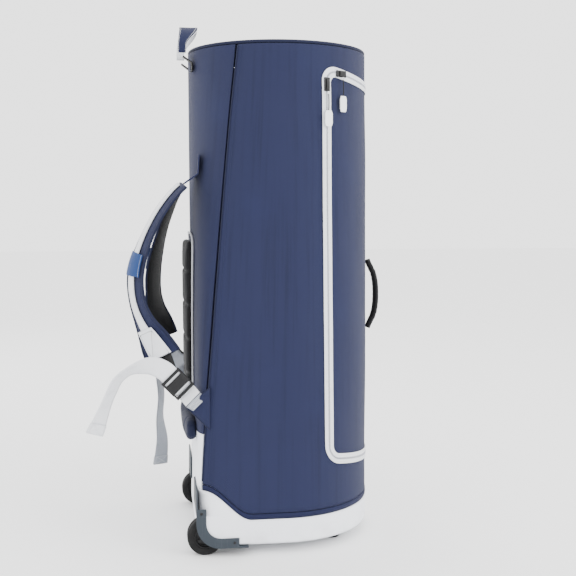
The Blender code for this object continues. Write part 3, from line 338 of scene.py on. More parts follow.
def thread(name, colour, shade):
    finish = Finish(name, colour, 0.6, Specular_IOR_Level=0.25)
    twist = finish.noise(finish.at("", (1, 1, 1)), 1500, 2)
    finish.tint((shade, twist.step(0.45, 0.6) * 0.6))
    finish.bump(twist, 0.0001)
    return finish.material


RUBBER = rubber()
STEEL = steel()
NAVY_THREAD = thread("navy_thread", (0.016, 0.021, 0.064), (0.006, 0.009, 0.030))
WHITE_THREAD = thread("white_thread", (0.70, 0.71, 0.74), (0.42, 0.43, 0.46))
BLACK_THREAD = thread("black_thread", (0.006, 0.006, 0.007), (0.002, 0.002, 0.003))
COIL = thread("coil_nylon", (0.40, 0.41, 0.45), (0.22, 0.23, 0.26))
print("plastic, rubber, steel and thread")


# %% [markdown]
# ## Pieces from grids
# Almost every piece of a sewn bag is a flat cut bent in space. `sheet` starts from Blender's grid, moves each
# corner to its place and writes the distances along the cloth as its UV map, in metres. A Solidify modifier
# gives it its thickness, and a Bevel modifier its soft edges where they are asked for.


# %% Make sheets, ribbons and stitches
def piece(name, mesh, finish, body, smooth=True):
    obj = bpy.data.objects.new(name, mesh)
    if mesh.materials:
        mesh.materials[0] = finish
    else:
        mesh.materials.append(finish)
    bpy.context.scene.collection.objects.link(obj)
    if smooth:
        mesh.shade_smooth()
        mesh.set_sharp_from_angle(angle=math.radians(38))
    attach(obj, body)
    return obj


def to_mesh(bm, name, recalculate=False):
    if recalculate:
        bmesh.ops.recalc_face_normals(bm, faces=bm.faces)
    mesh = bpy.data.meshes.new(name)
    bm.to_mesh(mesh)
    bm.free()
    return mesh


def lengths(points):
    total, result = 0.0, [0.0]
    for start, end in zip(points, points[1:]):
        total += (Vector(end) - Vector(start)).length
        result.append(total)
    return result


def sheet(name, columns, rows, place, skip=None):
    """A mesh of quads with corner (i, j) at place(i, j), UVs in metres, and no face where skip(i, j) is true."""
    spots = [[Vector(place(i, j)) for j in range(rows + 1)] for i in range(columns + 1)]
    across = lengths([spots[i][rows // 2] for i in range(columns + 1)])
    along = lengths(spots[columns // 2])
    bm = bmesh.new()
    bmesh.ops.create_grid(bm, x_segments=columns, y_segments=rows, size=1)
    where = {}
    for vert in bm.verts:
        i, j = round((vert.co.x + 1) / 2 * columns), round((vert.co.y + 1) / 2 * rows)
        where[vert] = (i, j)
        vert.co = spots[i][j]
    uv = bm.loops.layers.uv.new("cloth")
    for face in bm.faces:
        for loop in face.loops:
            i, j = where[loop.vert]
            loop[uv].uv = (across[i], along[j])
    if skip:
        holes = [face for face in bm.faces if skip(*(min(where[v][k] for v in face.verts) for k in (0, 1)))]
        bmesh.ops.delete(bm, geom=holes, context="FACES")
    return to_mesh(bm, name)


def thicken(obj, thickness, offset=-1.0, edge=0.0, segments=2):
    wall = obj.modifiers.new("thickness", "SOLIDIFY")
    wall.thickness = thickness
    wall.offset = offset
    wall.use_even_offset = True
    if edge:
        rounding = obj.modifiers.new("soft_edges", "BEVEL")
        rounding.width = edge
        rounding.segments = segments
        rounding.limit_method = "ANGLE"
        rounding.angle_limit = math.radians(50)


def mixed(a, b, share):
    return a + (b - a) * share


def eased(share):
    share = min(1.0, max(0.0, share))
    return share * share * (3 - 2 * share)


def smooth_route(points, count):
    """count + 1 points on a smooth curve through points (Catmull-Rom)."""
    ends = [points[0], *points, points[-1]]
    spans = len(points) - 1
    result = []
    for k in range(count + 1):
        at = min(k / count * spans, spans - 1e-9)
        i, t = int(at), at - int(at)
        corners = zip(*ends[i : i + 4])
        weights = (
            (-t + 2 * t**2 - t**3) / 2,
            (2 - 5 * t**2 + 3 * t**3) / 2,
            (t + 4 * t**2 - 3 * t**3) / 2,
            (-(t**2) + t**3) / 2,
        )
        result.append(tuple(sum(w * value for w, value in zip(weights, corner)) for corner in corners))
    return result


def resampled(points, pitch):
    """Points a pitch apart along a line of points, with the direction there."""
    along = lengths(points)
    count = max(1, int(along[-1] / pitch))
    result, i = [], 0
    for k in range(count):
        at = (k + 0.5) * along[-1] / count
        while along[i + 1] < at:
            i += 1
        start, end = Vector(points[i]), Vector(points[i + 1])
        result.append((start.lerp(end, (at - along[i]) / (along[i + 1] - along[i])), (end - start).normalized()))
    return result


def stitches(name, lines, finish, body, pitch=0.0036, long=0.0027, thick=0.0005):
    """Sewn lines as one mesh of small six-sided capsules. lines is a list of lists of points."""
    bm = bmesh.new()
    for line in lines:
        for place, direction in resampled(line, pitch):
            turn = direction.to_track_quat("Z", "Y").to_matrix().to_4x4()
            made = bmesh.ops.create_icosphere(bm, subdivisions=1, radius=1)
            shape = Matrix.Diagonal((thick, thick, long / 2, 1))
            bmesh.ops.transform(bm, verts=made["verts"], matrix=Matrix.Translation(place) @ turn @ shape)
    count = len(bm.verts) // 12
    made = piece(name, to_mesh(bm, name), finish, body)
    print(name, count, "stitches")
    return made


print("sheet, stitches and their helpers")

# %% [markdown]
# ## The bag's skin
# Every panel lies on one skin: a half cylinder in front, and a back half whose section is a superellipse, nearly
# square at the base and round at the rim. The panels share the functions below, so they meet without fitting.
# Soft cloth is never true, so `dressed` moves each point in or out by a slow noise, the same for every layer.

# %% Describe the skin
RADIUS = 0.185
RIM_Z = 0.984
BASE_Z = 0.020
BACK_DEPTH = 0.172
SQUARE_TOP_Z = 0.130
WALL = 0.004
GAP = 0.0006
HEM = 0.010
BORDER = (0.067, 0.124)  # top of the white base, at the front and at the back corners
LOWER_BACK_TOP_Z = 0.230
RIM_RING = 0.0035
WRAP_TOP_Z = RIM_Z - 2 * RIM_RING - GAP
RIPPLE = 0.0016


def rounding(z):
    return max(0.0, (z - SQUARE_TOP_Z) / (RIM_Z - SQUARE_TOP_Z))


def squareness(z):
    return 2 + 10 * (1 - rounding(z)) ** 2.5


def back_depth(z):
    return mixed(BACK_DEPTH, RADIUS, rounding(z))


def seam_x(z):
    return mixed(-0.164, -0.094, rounding(z) ** 1.15)


def half_width(x, z, out=0.0):
    power = squareness(z)
    share = min(1.0, abs(x) / (back_depth(z) + out))
    return (RADIUS + out) * (1 - share**power) ** (1 / power)


def back_x(y, z, out=0.0):
    power = squareness(z)
    share = min(1.0, abs(y) / (RADIUS + out))
    return -(back_depth(z) + out) * (1 - share**power) ** (1 / power)


def dressed(x, y, z):
    """A point drawn about the bag's axis, moved to its place and rippled as cloth."""
    fade = eased((z - 0.10) / 0.10) * eased((0.975 - z) / 0.10)
    wrinkle = noise.noise(Vector((x * 9, y * 9, z * 3.2))) + 0.4 * noise.noise(Vector((x * 22, y * 22, z * 9 + 7)))
    move = RIPPLE * fade * wrinkle / max(0.05, math.hypot(x, y))
    return Vector((x * (1 + move) + AXIS_X, y * (1 + move), z))


def front_point(angle, z, out=0.0):
    return dressed((RADIUS + out) * math.cos(angle), (RADIUS + out) * math.sin(angle), z)


def side_point(turn, z, out=0.0):
    """The skin from one back seam round the front to the other: turn 0 is the front, 1 a side, 2 a seam."""
    if abs(turn) <= 1:
        return front_point(turn * math.pi / 2, z, out)
    x = seam_x(z) * (abs(turn) - 1)
    return dressed(x, math.copysign(half_width(x, z, out), turn), z)


def back_point(across, z, out=0.0, inset=0.0):
    """The back skin between the seams, where across runs from -1 to 1 and starts at the bag's left."""
    y = (half_width(seam_x(z), z, out) - inset) * -across
    return dressed(back_x(y, z, out), y, z)


def border_z(turn):
    x = side_point(turn, SQUARE_TOP_Z).x - AXIS_X
    return mixed(*BORDER, eased((x + 0.070) / -0.090))


print("skin ready, border from", *BORDER)

# %% [markdown]
# ## Zip and flap lines
# The zip runs along the top, round a corner, down one side and back along the bottom. The flap is the region
# inside it, and its cloth is drawn in from the zip's centre line by a margin, as the body's cloth is drawn out.

# %% Describe the zip's line
ZIP_TOP_Z = 0.929
ZIP_BOTTOM_Z = 0.176
ZIP_TILT = 0.21
ZIP_ANGLES = (math.radians(-63.5), math.radians(-66.0))  # at the bottom and at the top
HINGE_ANGLE = math.radians(65.0)
ZIP_CORNER = 0.024
TAPE_WIDTH = 0.010
TAPE = 0.0012
CHAIN_GAP = 0.0008
CORNER_STEPS = 8
FLAP_COLUMNS = 56
SPAN = RADIUS * (HINGE_ANGLE - ZIP_ANGLES[1])


def zip_angle(z):
    return mixed(*ZIP_ANGLES, (z - ZIP_BOTTOM_Z) / (ZIP_TOP_Z - ZIP_BOTTOM_Z))


def run_z(level, angle):
    return level - ZIP_TILT * (RADIUS * math.cos(angle) - 0.077)


def flap_spot(i, share, margin):
    """Angle and height at column i and at a share of the way up the region inside the zip."""
    corner = ZIP_CORNER - margin
    along, drop = mixed(margin + corner, SPAN, (i - CORNER_STEPS) / FLAP_COLUMNS), 0.0
    if i <= CORNER_STEPS:
        bend = math.pi / 2 * i / CORNER_STEPS
        along, drop = margin + corner * (1 - math.cos(bend)), corner * (1 - math.sin(bend))
    ends = []
    for level, side in ((ZIP_BOTTOM_Z, 1), (ZIP_TOP_Z, -1)):
        angle = mixed(zip_angle(level), HINGE_ANGLE, along / SPAN)
        ends.append(run_z(level, angle) + side * (margin + drop))
    z = mixed(*ends, share)
    return mixed(zip_angle(z), HINGE_ANGLE, along / SPAN), z


def zip_path(offset):
    """Angles and heights along the zip, moved off its centre line by offset, positive into the flap."""
    corner = ZIP_CORNER - offset
    half = [(mixed(SPAN, ZIP_CORNER, i / 56), 0.0) for i in range(56)]
    for i in range(CORNER_STEPS + 1):
        bend = math.pi / 2 * i / CORNER_STEPS
        half.append((ZIP_CORNER - corner * math.sin(bend), corner * (1 - math.cos(bend))))
    runs = []
    for level, side in ((ZIP_TOP_Z, -1), (ZIP_BOTTOM_Z, 1)):
        run = []
        for along, drop in half:
            angle = mixed(zip_angle(level), HINGE_ANGLE, along / SPAN)
            run.append((angle, run_z(level, angle) + side * (offset + drop)))
        runs.append(run)
    upper, lower = runs
    upright = []
    for k in range(1, 48):
        z = mixed(upper[-1][1], lower[-1][1], k / 48)
        upright.append((zip_angle(z) + offset / RADIUS, z))
    return upper + upright + lower[::-1]


print("zip of", round(lengths([front_point(*spot) for spot in zip_path(0)])[-1], 3), "m")

# %% [markdown]
# ## Pull cords
# Each slider hangs a thin black cord with a plastic tag at its end. The cord is short and limp, so it hangs
# straight down along the fabric. It is made first, because its length and its ends are facts about the object.

# %% Hang the pull cords
SLIDER_HEIGHT = 0.0055
SLIDER_OUT = 2 * GAP + TAPE
RING = (0.0060, 0.0050, 0.0014)
RING_OUT = SLIDER_OUT + SLIDER_HEIGHT + 0.0012 + RING[2] / 2
PULL_CORD = 0.031
TOP_SLIDER_ANGLE = math.radians(-55)
PULLS = {
    "side": (zip_angle(0.900), 0.900, (0.0130, 0.0270)),
    "top": (TOP_SLIDER_ANGLE, run_z(ZIP_TOP_Z, TOP_SLIDER_ANGLE), (0.0270, 0.0130)),
}


def plain_point(angle, z, out):
    """A point off the round front, without the cloth's ripples."""
    return Vector(((RADIUS + out) * math.cos(angle) + AXIS_X, (RADIUS + out) * math.sin(angle), z))


def tube(name, points, radius, finish, body, cyclic=False, sides=3):
    curve = bpy.data.curves.new(name, "CURVE")
    curve.dimensions = "3D"
    curve.bevel_depth = radius
    curve.bevel_resolution = sides
    curve.use_fill_caps = not cyclic
    spline = curve.splines.new("POLY")
    spline.points.add(len(points) - 1)
    for point, place in zip(spline.points, points):
        point.co = (*place, 1)
    spline.use_cyclic_u = cyclic
    curve.materials.append(finish)
    obj = bpy.data.objects.new(name, curve)
    bpy.context.scene.collection.objects.link(obj)
    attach(obj, body)
    return obj


for side, (angle, z, size) in PULLS.items():
    hinge_z = z - size[1] / 2 - RING[2]
    cord_top = hinge_z - RING[1] + RING[2] / 2 - 0.0003
    route = []
    for i in range(19):
        share = i / 18
        bow = 0.0008 * math.sin(math.pi * share)
        route.append(plain_point(angle, cord_top - PULL_CORD * share, RING_OUT + bow))
    pull_cord = tube(f"cord_{side}", route, 0.001, BLACK_THREAD, f"{side}_pull")
    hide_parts(f"pull_cord_{side}")
print("two cords of", PULL_CORD, "m")

# %% [markdown]
# ## Body and flap
# The body is one long piece of padded cloth, from one back seam round the front to the other, with a window that
# the flap closes. A Boolean would leave ragged edges in a fine mesh, so the grid's rows and columns follow the
# window, and the faces inside it are left out. The flap is the same cloth, and its filling swells it a little.

# %% Sew the body round its window
SIDE_COLUMNS = 44
FAR_COLUMNS = 44
LOW_ROWS = 8
FLAP_ROWS = 64
HIGH_ROWS = 6
FLAP_GRID = CORNER_STEPS + FLAP_COLUMNS


def body_place(i, j):
    column = min(max(i - SIDE_COLUMNS, 0), FLAP_GRID)
    row = min(max(j - LOW_ROWS, 0), FLAP_ROWS)
    angle, z = flap_spot(column, row / FLAP_ROWS, -CHAIN_GAP)
    turn = angle / (math.pi / 2)
    if i < SIDE_COLUMNS:
        turn = mixed(turn, -2, (1 - i / SIDE_COLUMNS) ** 0.9)
    elif i > SIDE_COLUMNS + FLAP_GRID:
        turn = mixed(turn, 2, ((i - SIDE_COLUMNS - FLAP_GRID) / FAR_COLUMNS) ** 0.9)
    if j < LOW_ROWS:
        z = mixed(border_z(turn) + HEM + 4 * GAP, z, j / LOW_ROWS)
    elif j > LOW_ROWS + FLAP_ROWS:
        z = mixed(z, WRAP_TOP_Z, (j - LOW_ROWS - FLAP_ROWS) / HIGH_ROWS)
    return side_point(turn, z)


def in_window(i, j):
    return SIDE_COLUMNS <= i < SIDE_COLUMNS + FLAP_GRID and LOW_ROWS <= j < LOW_ROWS + FLAP_ROWS


columns = SIDE_COLUMNS + FLAP_GRID + FAR_COLUMNS
rows = LOW_ROWS + FLAP_ROWS + HIGH_ROWS
body = piece("body_cloth", sheet("body_cloth", columns, rows, body_place, in_window), NAVY, "bag")
thicken(body, WALL, edge=0.0008)
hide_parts("body_wrap")


def flap_place(i, j):
    margin = min(min(i, FLAP_GRID - i) * 1.5, j, FLAP_ROWS - j) / 14
    angle, z = flap_spot(i, j / FLAP_ROWS, CHAIN_GAP)
    return front_point(angle, z, 0.0022 * eased(margin))


flap = piece("flap_cloth", sheet("flap_cloth", FLAP_GRID, FLAP_ROWS, flap_place), NAVY, "flap")
thicken(flap, WALL, edge=0.0008)
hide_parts("front_flap")
print("body", len(body.data.polygons), "faces, flap", len(flap.data.polygons))

# %% [markdown]
# The back is a navy panel over a white one, sewn to the body at two seams. A rolled seam shows as a thin dark cord
# between the panels, so one is laid along each seam, with a row of stitches beside it.

# %% Close the back and lay its seams
SEAM_GAP = 0.0030
BACK_COLUMNS = 40
ROWS_PER_METRE = 90


def back_sheet(name, node, low, high, finish):
    count = max(4, round((high - low) * ROWS_PER_METRE))

    def place(i, j):
        across = math.sin(math.pi / 2 * (2 * i / BACK_COLUMNS - 1))
        return back_point(across, mixed(low, high, j / count), inset=SEAM_GAP)

    panel = piece(name, sheet(name, BACK_COLUMNS, count, place), finish, "bag")
    thicken(panel, WALL, edge=0.0008)
    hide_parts(node)


back_sheet("back_cloth", "back_panel", LOWER_BACK_TOP_Z + GAP, WRAP_TOP_Z, NAVY)
back_sheet("lower_back", "lower_back_panel", BORDER[1] + GAP, LOWER_BACK_TOP_Z, WHITE)

seams = {}
for side, sign in SIDES.items():
    heights = [mixed(0.142, WRAP_TOP_Z - 0.002, i / 70) for i in range(71)]
    line = [side_point(2 * sign, z, 0.0002) for z in heights]
    tube(f"back_seam_{side}", line, 0.0016, BINDING, "bag")
    seams[side] = [side_point(1.93 * sign, z, 0.0003) for z in heights]
stitches("seam_stitches", seams.values(), NAVY_THREAD, "bag")
print("back closed")

# %% [markdown]
# The base is a tub of white tarpaulin, and its top edge climbs to the back corners. A dark bound hem covers the
# join with the navy cloth above. The rim's piping and the lid's round panel close the top.

# %% Mould the base tub and sew its hem
TUB_COLUMNS = 150
TUB_ROWS = 18
HEM_TURNS = 120


def tub_outline(i, z, out=0.0):
    """Round the tub from the left back seam, by the front, to the right back seam and home across the back."""
    at = i / TUB_COLUMNS * 6 - 2
    return side_point(at, z, out) if at <= 2 else back_point((at - 3), z, out)


def tub_height(i):
    at = i / TUB_COLUMNS * 6 - 2
    return border_z(at) if at <= 2 else BORDER[1]


WHEEL_X = -0.157
HOUSING_Y = (0.134, 0.185)
HOUSING_FRONT_X = -0.112
HOUSING_CORNER = 0.044


def at_wheel(i, j):
    """Whether a face of the tub's wall lies outside the round lower corner of a wheel housing."""
    spot = tub_outline(i + 0.5, BASE_Z)
    z = mixed(BASE_Z, tub_height(i + 0.5), (j + 0.5) / TUB_ROWS)
    behind, below = -BACK_DEPTH + HOUSING_CORNER - spot.x + AXIS_X, BASE_Z + HOUSING_CORNER - z
    return abs(spot.y) > HOUSING_Y[0] and min(behind, below) > 0 and math.hypot(behind, below) > HOUSING_CORNER - 0.003


def tub_place(i, j):
    z = mixed(BASE_Z, tub_height(i), j / TUB_ROWS)
    tuck = 0.004 * (1 - min(1.0, j / 2)) ** 2
    return tub_outline(i, z, 0.0003 - tuck)


tub_mesh = sheet("tub_wall", TUB_COLUMNS, TUB_ROWS, tub_place, at_wheel)
tub_edit = bmesh.new()
tub_edit.from_mesh(tub_mesh)
bmesh.ops.remove_doubles(tub_edit, verts=tub_edit.verts, dist=1e-5)
tub_edit.to_mesh(tub_mesh)
tub_edit.free()
tub = piece("tub_wall", tub_mesh, WHITE, "bag")
thicken(tub, 0.003)
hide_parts("base_tub")


def sole_place(i, j):
    """The tub's floor, drawn clear of the wheel housings."""
    x = mixed(-BACK_DEPTH + 0.004, RADIUS - 0.005, i / 60)
    reach = half_width(min(x, 0), BASE_Z) if x < 0 else math.sqrt(RADIUS**2 - x**2)
    reach = min(reach - 0.004, HOUSING_Y[0] - 0.001 if x < HOUSING_FRONT_X else 1)
    return Vector((x + AXIS_X, reach * (1 - 2 * j / 24), BASE_Z + 0.0015))


sole = piece("tub_floor", sheet("tub_floor", 60, 24, sole_place), WHITE, "bag")
thicken(sole, 0.003, 0)


def hem_place(i, j):
    turn = mixed(-2, 2, i / HEM_TURNS)
    bulge = 0.0012 * math.sin(math.pi * j / 4)
    return side_point(turn, border_z(turn) + 2 * GAP + HEM * j / 4, bulge)


hem = piece("hem_tape", sheet("hem_tape", HEM_TURNS, 4, hem_place), HEM_CLOTH, "bag")
thicken(hem, WALL, edge=0.0006)
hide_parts("hem_binding")

hem_lines = []
for drop in (0.0022, -0.0125):
    turns = [mixed(-1.97, 1.97, i / 240) for i in range(241)]
    hem_lines.append([side_point(turn, border_z(turn) - drop, 0.0005) for turn in turns])
stitches("hem_stitches", hem_lines[:1], WHITE_THREAD, "bag")
stitches("hem_upper_stitches", hem_lines[1:], NAVY_THREAD, "bag")
print("tub", len(tub.data.polygons), "faces")


# %% Pipe the rim and lay the lid
rim_line = []
for i in range(128):
    turn = 2 * math.pi * i / 128
    reach = RADIUS - RIM_RING
    rim_line.append((reach * math.cos(turn) + AXIS_X, reach * math.sin(turn), RIM_Z - RIM_RING))
rim = tube("rim_piping", rim_line, RIM_RING, BINDING, "bag", cyclic=True, sides=4)
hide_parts("rim_binding")


def lid_place(i, j):
    turn = 2 * math.pi * i / 72
    reach = (RADIUS - 2 * RIM_RING - 2 * GAP) * (1 - j / 16) + 0.0004
    sag = -0.0022 * math.cos(reach / RADIUS * math.pi / 2) * (1 + 0.8 * noise.noise(Vector((reach * 20, turn, 3))))
    return Vector((reach * math.cos(turn) + AXIS_X, reach * math.sin(turn), RIM_Z - RIM_RING + 0.0022 + sag))


lid_mesh = sheet("lid_cloth", 72, 16, lid_place)
lid_edit = bmesh.new()
lid_edit.from_mesh(lid_mesh)
bmesh.ops.remove_doubles(lid_edit, verts=lid_edit.verts, dist=0.0002)
bmesh.ops.holes_fill(lid_edit, edges=[edge for edge in lid_edit.edges if edge.is_boundary][:72], sides=0)
bmesh.ops.recalc_face_normals(lid_edit, faces=lid_edit.faces)
lid_edit.to_mesh(lid_mesh)
lid_edit.free()
lid = piece("lid_cloth", lid_mesh, NAVY, "bag")
thicken(lid, 0.004)
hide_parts("top_cap")

rim_stitches = []
for i in range(181):
    turn = 2 * math.pi * i / 180
    rim_stitches.append((0.1735 * math.cos(turn) + AXIS_X, 0.1735 * math.sin(turn), RIM_Z - 0.0012))
stitches("lid_stitches", [rim_stitches], NAVY_THREAD, "bag")

# %% [markdown]
# ## Zip
# A coil zip is two woven tapes, each with a nylon coil sewn on one edge. The coils' turns alternate like fingers
# of two hands. A tape is a narrow grid along the zip's line, and each coil turn is one small capsule.

# %% Sew the zip's tapes and coils
def tape(name, near, far, node, body):
    edges = [zip_path(mixed(near, far, k / 4)) for k in range(5)]
    order = 1 if near < far else -1

    def place(i, j):
        angle, z = edges[::order][j][i]
        curl = 0.0004 * math.cos(math.pi * j / 4) ** 2
        return front_point(angle, z, GAP + curl)

    made = piece(name, sheet(name, len(edges[0]) - 1, 4, place), WHITE_WEBBING, body)
    thicken(made, TAPE * 0.8, 1)
    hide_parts(node)
    lines = []
    for offset in (mixed(near, far, 0.42), mixed(near, far, 0.9)):
        lines.append([front_point(angle, z, GAP + TAPE) for angle, z in zip_path(offset)])
    stitches(f"{name}_stitches", lines, WHITE_THREAD, body, 0.0042, 0.0030, 0.0004)


def coil(name, near, shift, body):
    """Turns of the coil from the tape's edge across the slit, shift being where the first one is."""
    inner = [front_point(angle, z, GAP + TAPE * 0.9) for angle, z in zip_path(near * 3.4)]
    outer = [front_point(angle, z, GAP + TAPE * 0.9) for angle, z in zip_path(-near * 0.2)]
    bm = bmesh.new()
    starts, ends = resampled(inner, 0.0026), resampled(outer, 0.0026)
    for k in range(min(len(starts), len(ends)) - 1):
        start = starts[k][0].lerp(starts[k + 1][0], shift)
        end = ends[k * len(ends) // len(starts)][0].lerp(ends[k * len(ends) // len(starts) + 1][0], shift)
        run = end - start
        made = bmesh.ops.create_icosphere(bm, subdivisions=1, radius=1)
        shape = Matrix.Diagonal((0.00075, 0.0008, run.length * 0.62, 1))
        turn = run.to_track_quat("Z", "Y").to_matrix().to_4x4()
        bmesh.ops.transform(bm, verts=made["verts"], matrix=Matrix.Translation((start + end) / 2) @ turn @ shape)
    return piece(name, to_mesh(bm, name), COIL, body)


tape("body_tape", -TAPE_WIDTH, -CHAIN_GAP, "zip_tape_body", "bag")
tape("flap_tape", TAPE_WIDTH, CHAIN_GAP, "zip_tape_flap", "flap")
coil("body_coil", -CHAIN_GAP, 0.0, "bag")
coil("flap_coil", CHAIN_GAP, 0.5, "flap")


def hinge_place(i, j):
    angle = HINGE_ANGLE + (4 * GAP + 0.012 * i / 4) / RADIUS
    ends = run_z(ZIP_BOTTOM_Z, angle), run_z(ZIP_TOP_Z, angle)
    return front_point(angle, mixed(*ends, j / 64), GAP)


hinge_mesh = sheet("hinge_tape", 4, 64, hinge_place)
hinge_tape = piece("hinge_tape", hinge_mesh, BINDING, "bag")
thicken(hinge_tape, TAPE, 1)
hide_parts("flap_hinge_binding")
hinge_lines = []
for offset in (0.0048, 0.0120):
    angle = HINGE_ANGLE + offset / RADIUS
    hinge_lines.append([front_point(angle, mixed(0.19, 0.91, k / 60), GAP + TAPE) for k in range(61)])
stitches("hinge_stitches", hinge_lines, NAVY_THREAD, "bag")


# %% [markdown]
# A slider is a moulded wedge with a bridge on its back, and the bridge holds a steel ring. Each is a few blocks
# with bevelled edges, joined, so that it catches light on its shoulders.

# %% Mould the sliders, rings and tags
def facing(angle, place):
    """A matrix whose X runs along the skin, Y up and Z out of it, at an angle round the front."""
    out = Vector((math.cos(angle), math.sin(angle), 0))
    along = Vector((-math.sin(angle), math.cos(angle), 0))
    turn = Matrix((along, Vector((0, 0, 1)), out)).transposed().to_4x4()
    return Matrix.Translation(place) @ turn


def rounded_block(size, edge, segments=3):
    bm = bmesh.new()
    bmesh.ops.create_cube(bm, size=1)
    bmesh.ops.scale(bm, verts=bm.verts, vec=size)
    edges = list(bm.edges)
    bmesh.ops.bevel(bm, geom=edges, offset=edge, affect="EDGES", segments=segments, profile=0.5, material=-1)
    return bm


def joined(target, source, matrix):
    """Adds a bmesh to another, moved by matrix."""
    bmesh.ops.transform(source, verts=source.verts, matrix=matrix)
    holder = bpy.data.meshes.new("holder")
    source.to_mesh(holder)
    source.free()
    target.from_mesh(holder)
    bpy.data.meshes.remove(holder)


def ring_shape(width, height, wire):
    """A rounded rectangle of wire, from a torus-like spin squared at its sides."""
    bm = bmesh.new()
    circle = bmesh.ops.create_circle(bm, segments=10, radius=wire)
    turn = Matrix.Rotation(math.pi / 2, 4, "X")
    bmesh.ops.transform(bm, verts=circle["verts"], matrix=Matrix.Translation((1, 0, 0)) @ turn)
    geom = [*bm.verts, *bm.edges]
    bmesh.ops.spin(bm, geom=geom, cent=(0, 0, 0), axis=(0, 0, 1), angle=2 * math.pi, steps=32, use_merge=True)
    for vert in bm.verts:
        turn = math.atan2(vert.co.y, vert.co.x)
        off = math.hypot(vert.co.x, vert.co.y) - 1
        x = math.copysign(abs(math.cos(turn)) ** 0.6, math.cos(turn)) * (width / 2 - wire + off)
        y = math.copysign(abs(math.sin(turn)) ** 0.6, math.sin(turn)) * (height / 2 - wire + off)
        vert.co = (x, y, vert.co.z)
    bmesh.ops.recalc_face_normals(bm, faces=bm.faces)
    return bm


def tag_shape():
    """A long hexagon plate with a raised rim and an eyelet."""
    bm = bmesh.new()
    half, tall = 0.0085, 0.031
    outline = [(-0.7, 0), (0.7, 0), (1, -0.2), (1, -0.8), (0.7, -1), (-0.7, -1), (-1, -0.8), (-1, -0.2)]
    face = bm.faces.new([bm.verts.new((x * half, y * tall, -0.0012)) for x, y in outline])
    drawn = bmesh.ops.extrude_face_region(bm, geom=[face])
    top = [item for item in drawn["geom"] if isinstance(item, bmesh.types.BMFace)]
    bmesh.ops.translate(bm, verts=top[0].verts, vec=(0, 0, 0.0024))
    bmesh.ops.recalc_face_normals(bm, faces=bm.faces)
    bmesh.ops.inset_region(bm, faces=top, thickness=0.0016, depth=0.0)
    bmesh.ops.inset_region(bm, faces=top, thickness=0.0004, depth=-0.0006)
    edges = [edge for edge in bm.edges if edge.calc_face_angle(0) > math.radians(25)]
    bmesh.ops.bevel(bm, geom=edges, offset=0.00025, affect="EDGES", segments=2, profile=0.5, material=-1)
    return bm


for side, (angle, z, size) in PULLS.items():
    out = SLIDER_OUT + SLIDER_HEIGHT / 2
    slider = rounded_block((size[0], size[1], SLIDER_HEIGHT * 0.55), 0.0011)
    bmesh.ops.translate(slider, verts=slider.verts, vec=(0, 0, -SLIDER_HEIGHT * 0.22))
    for share, width in ((0.30, 0.5), (-0.30, 0.5)):
        post = rounded_block((size[0] * width, size[1] * 0.16, SLIDER_HEIGHT * 0.5), 0.0006)
        joined(slider, post, Matrix.Translation((0, size[1] * share, SLIDER_HEIGHT * 0.20)))
    bridge = rounded_block((size[0] * 0.42, size[1] * 0.80, SLIDER_HEIGHT * 0.25), 0.0006)
    joined(slider, bridge, Matrix.Translation((0, 0, SLIDER_HEIGHT * 0.375)))
    bmesh.ops.transform(slider, verts=slider.verts, matrix=facing(angle, plain_point(angle, z, out)))
    made = piece(f"slider_{side}", to_mesh(slider, "slider"), BLACK_PLASTIC, f"{side}_slider")
    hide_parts(f"zip_slider_{side}")

    hinge_z = z - size[1] / 2 - RING[2]
    ring = ring_shape(RING[0], RING[1] + 0.0006, RING[2] / 2)
    ring_place = plain_point(angle, hinge_z - (RING[1] - RING[2]) / 2, RING_OUT)
    bmesh.ops.transform(ring, verts=ring.verts, matrix=facing(angle, ring_place))
    made = piece(f"ring_{side}", to_mesh(ring, "ring"), STEEL, f"{side}_pull")
    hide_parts(f"zip_ring_{side}")

    tag_top = hinge_z - RING[1] + RING[2] / 2 - 0.0003 - PULL_CORD - 0.0003
    tag = tag_shape()
    bmesh.ops.transform(tag, verts=tag.verts, matrix=facing(angle, plain_point(angle, tag_top, RING_OUT)))
    made = piece(f"tag_{side}", to_mesh(tag, "tag"), TAG_PLASTIC, f"{side}_pull")
    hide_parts(f"pull_tag_{side}")
print("two sliders with rings and tags")

# %% [markdown]
# ## Shoulder straps
# A shoulder strap is a foam core between two cloths, sewn shut along both edges with binding, and a flat webbing
# runs down its face. Each is drawn along one line of stations: a centre, the direction across it and a width. The
# foam swells between the bound edges, so the pad's section is a closed pillow shape swept along the stations.


# %% Describe the straps' route
def placed(x, y, z):
    return Vector((x + AXIS_X, y, z))


STRAP_WIDTH = 0.070
STRAP_PAD = 0.012
WEBBING_WIDTH = 0.038
STRIPE_WIDTH = 0.024
WEBBING = 0.0016
STRAP_ROUTE = [  # x, height, y and degrees of roll outwards, from the top to the lower end
    (-0.196, 0.706, 0.095, 10),
    (-0.216, 0.685, 0.096, 12),
    (-0.240, 0.650, 0.098, 14),
    (-0.262, 0.605, 0.100, 16),
    (-0.279, 0.555, 0.102, 22),
    (-0.2845, 0.515, 0.105, 25),
    (-0.2800, 0.475, 0.110, 26),
    (-0.2680, 0.440, 0.122, 34),
    (-0.2520, 0.408, 0.140, 54),
    (-0.2370, 0.376, 0.154, 78),
]
STRAP_BULGE = {"left": 1.1, "right": 0.55}  # the right strap hangs closer to the back
STRAP_STEPS = 96


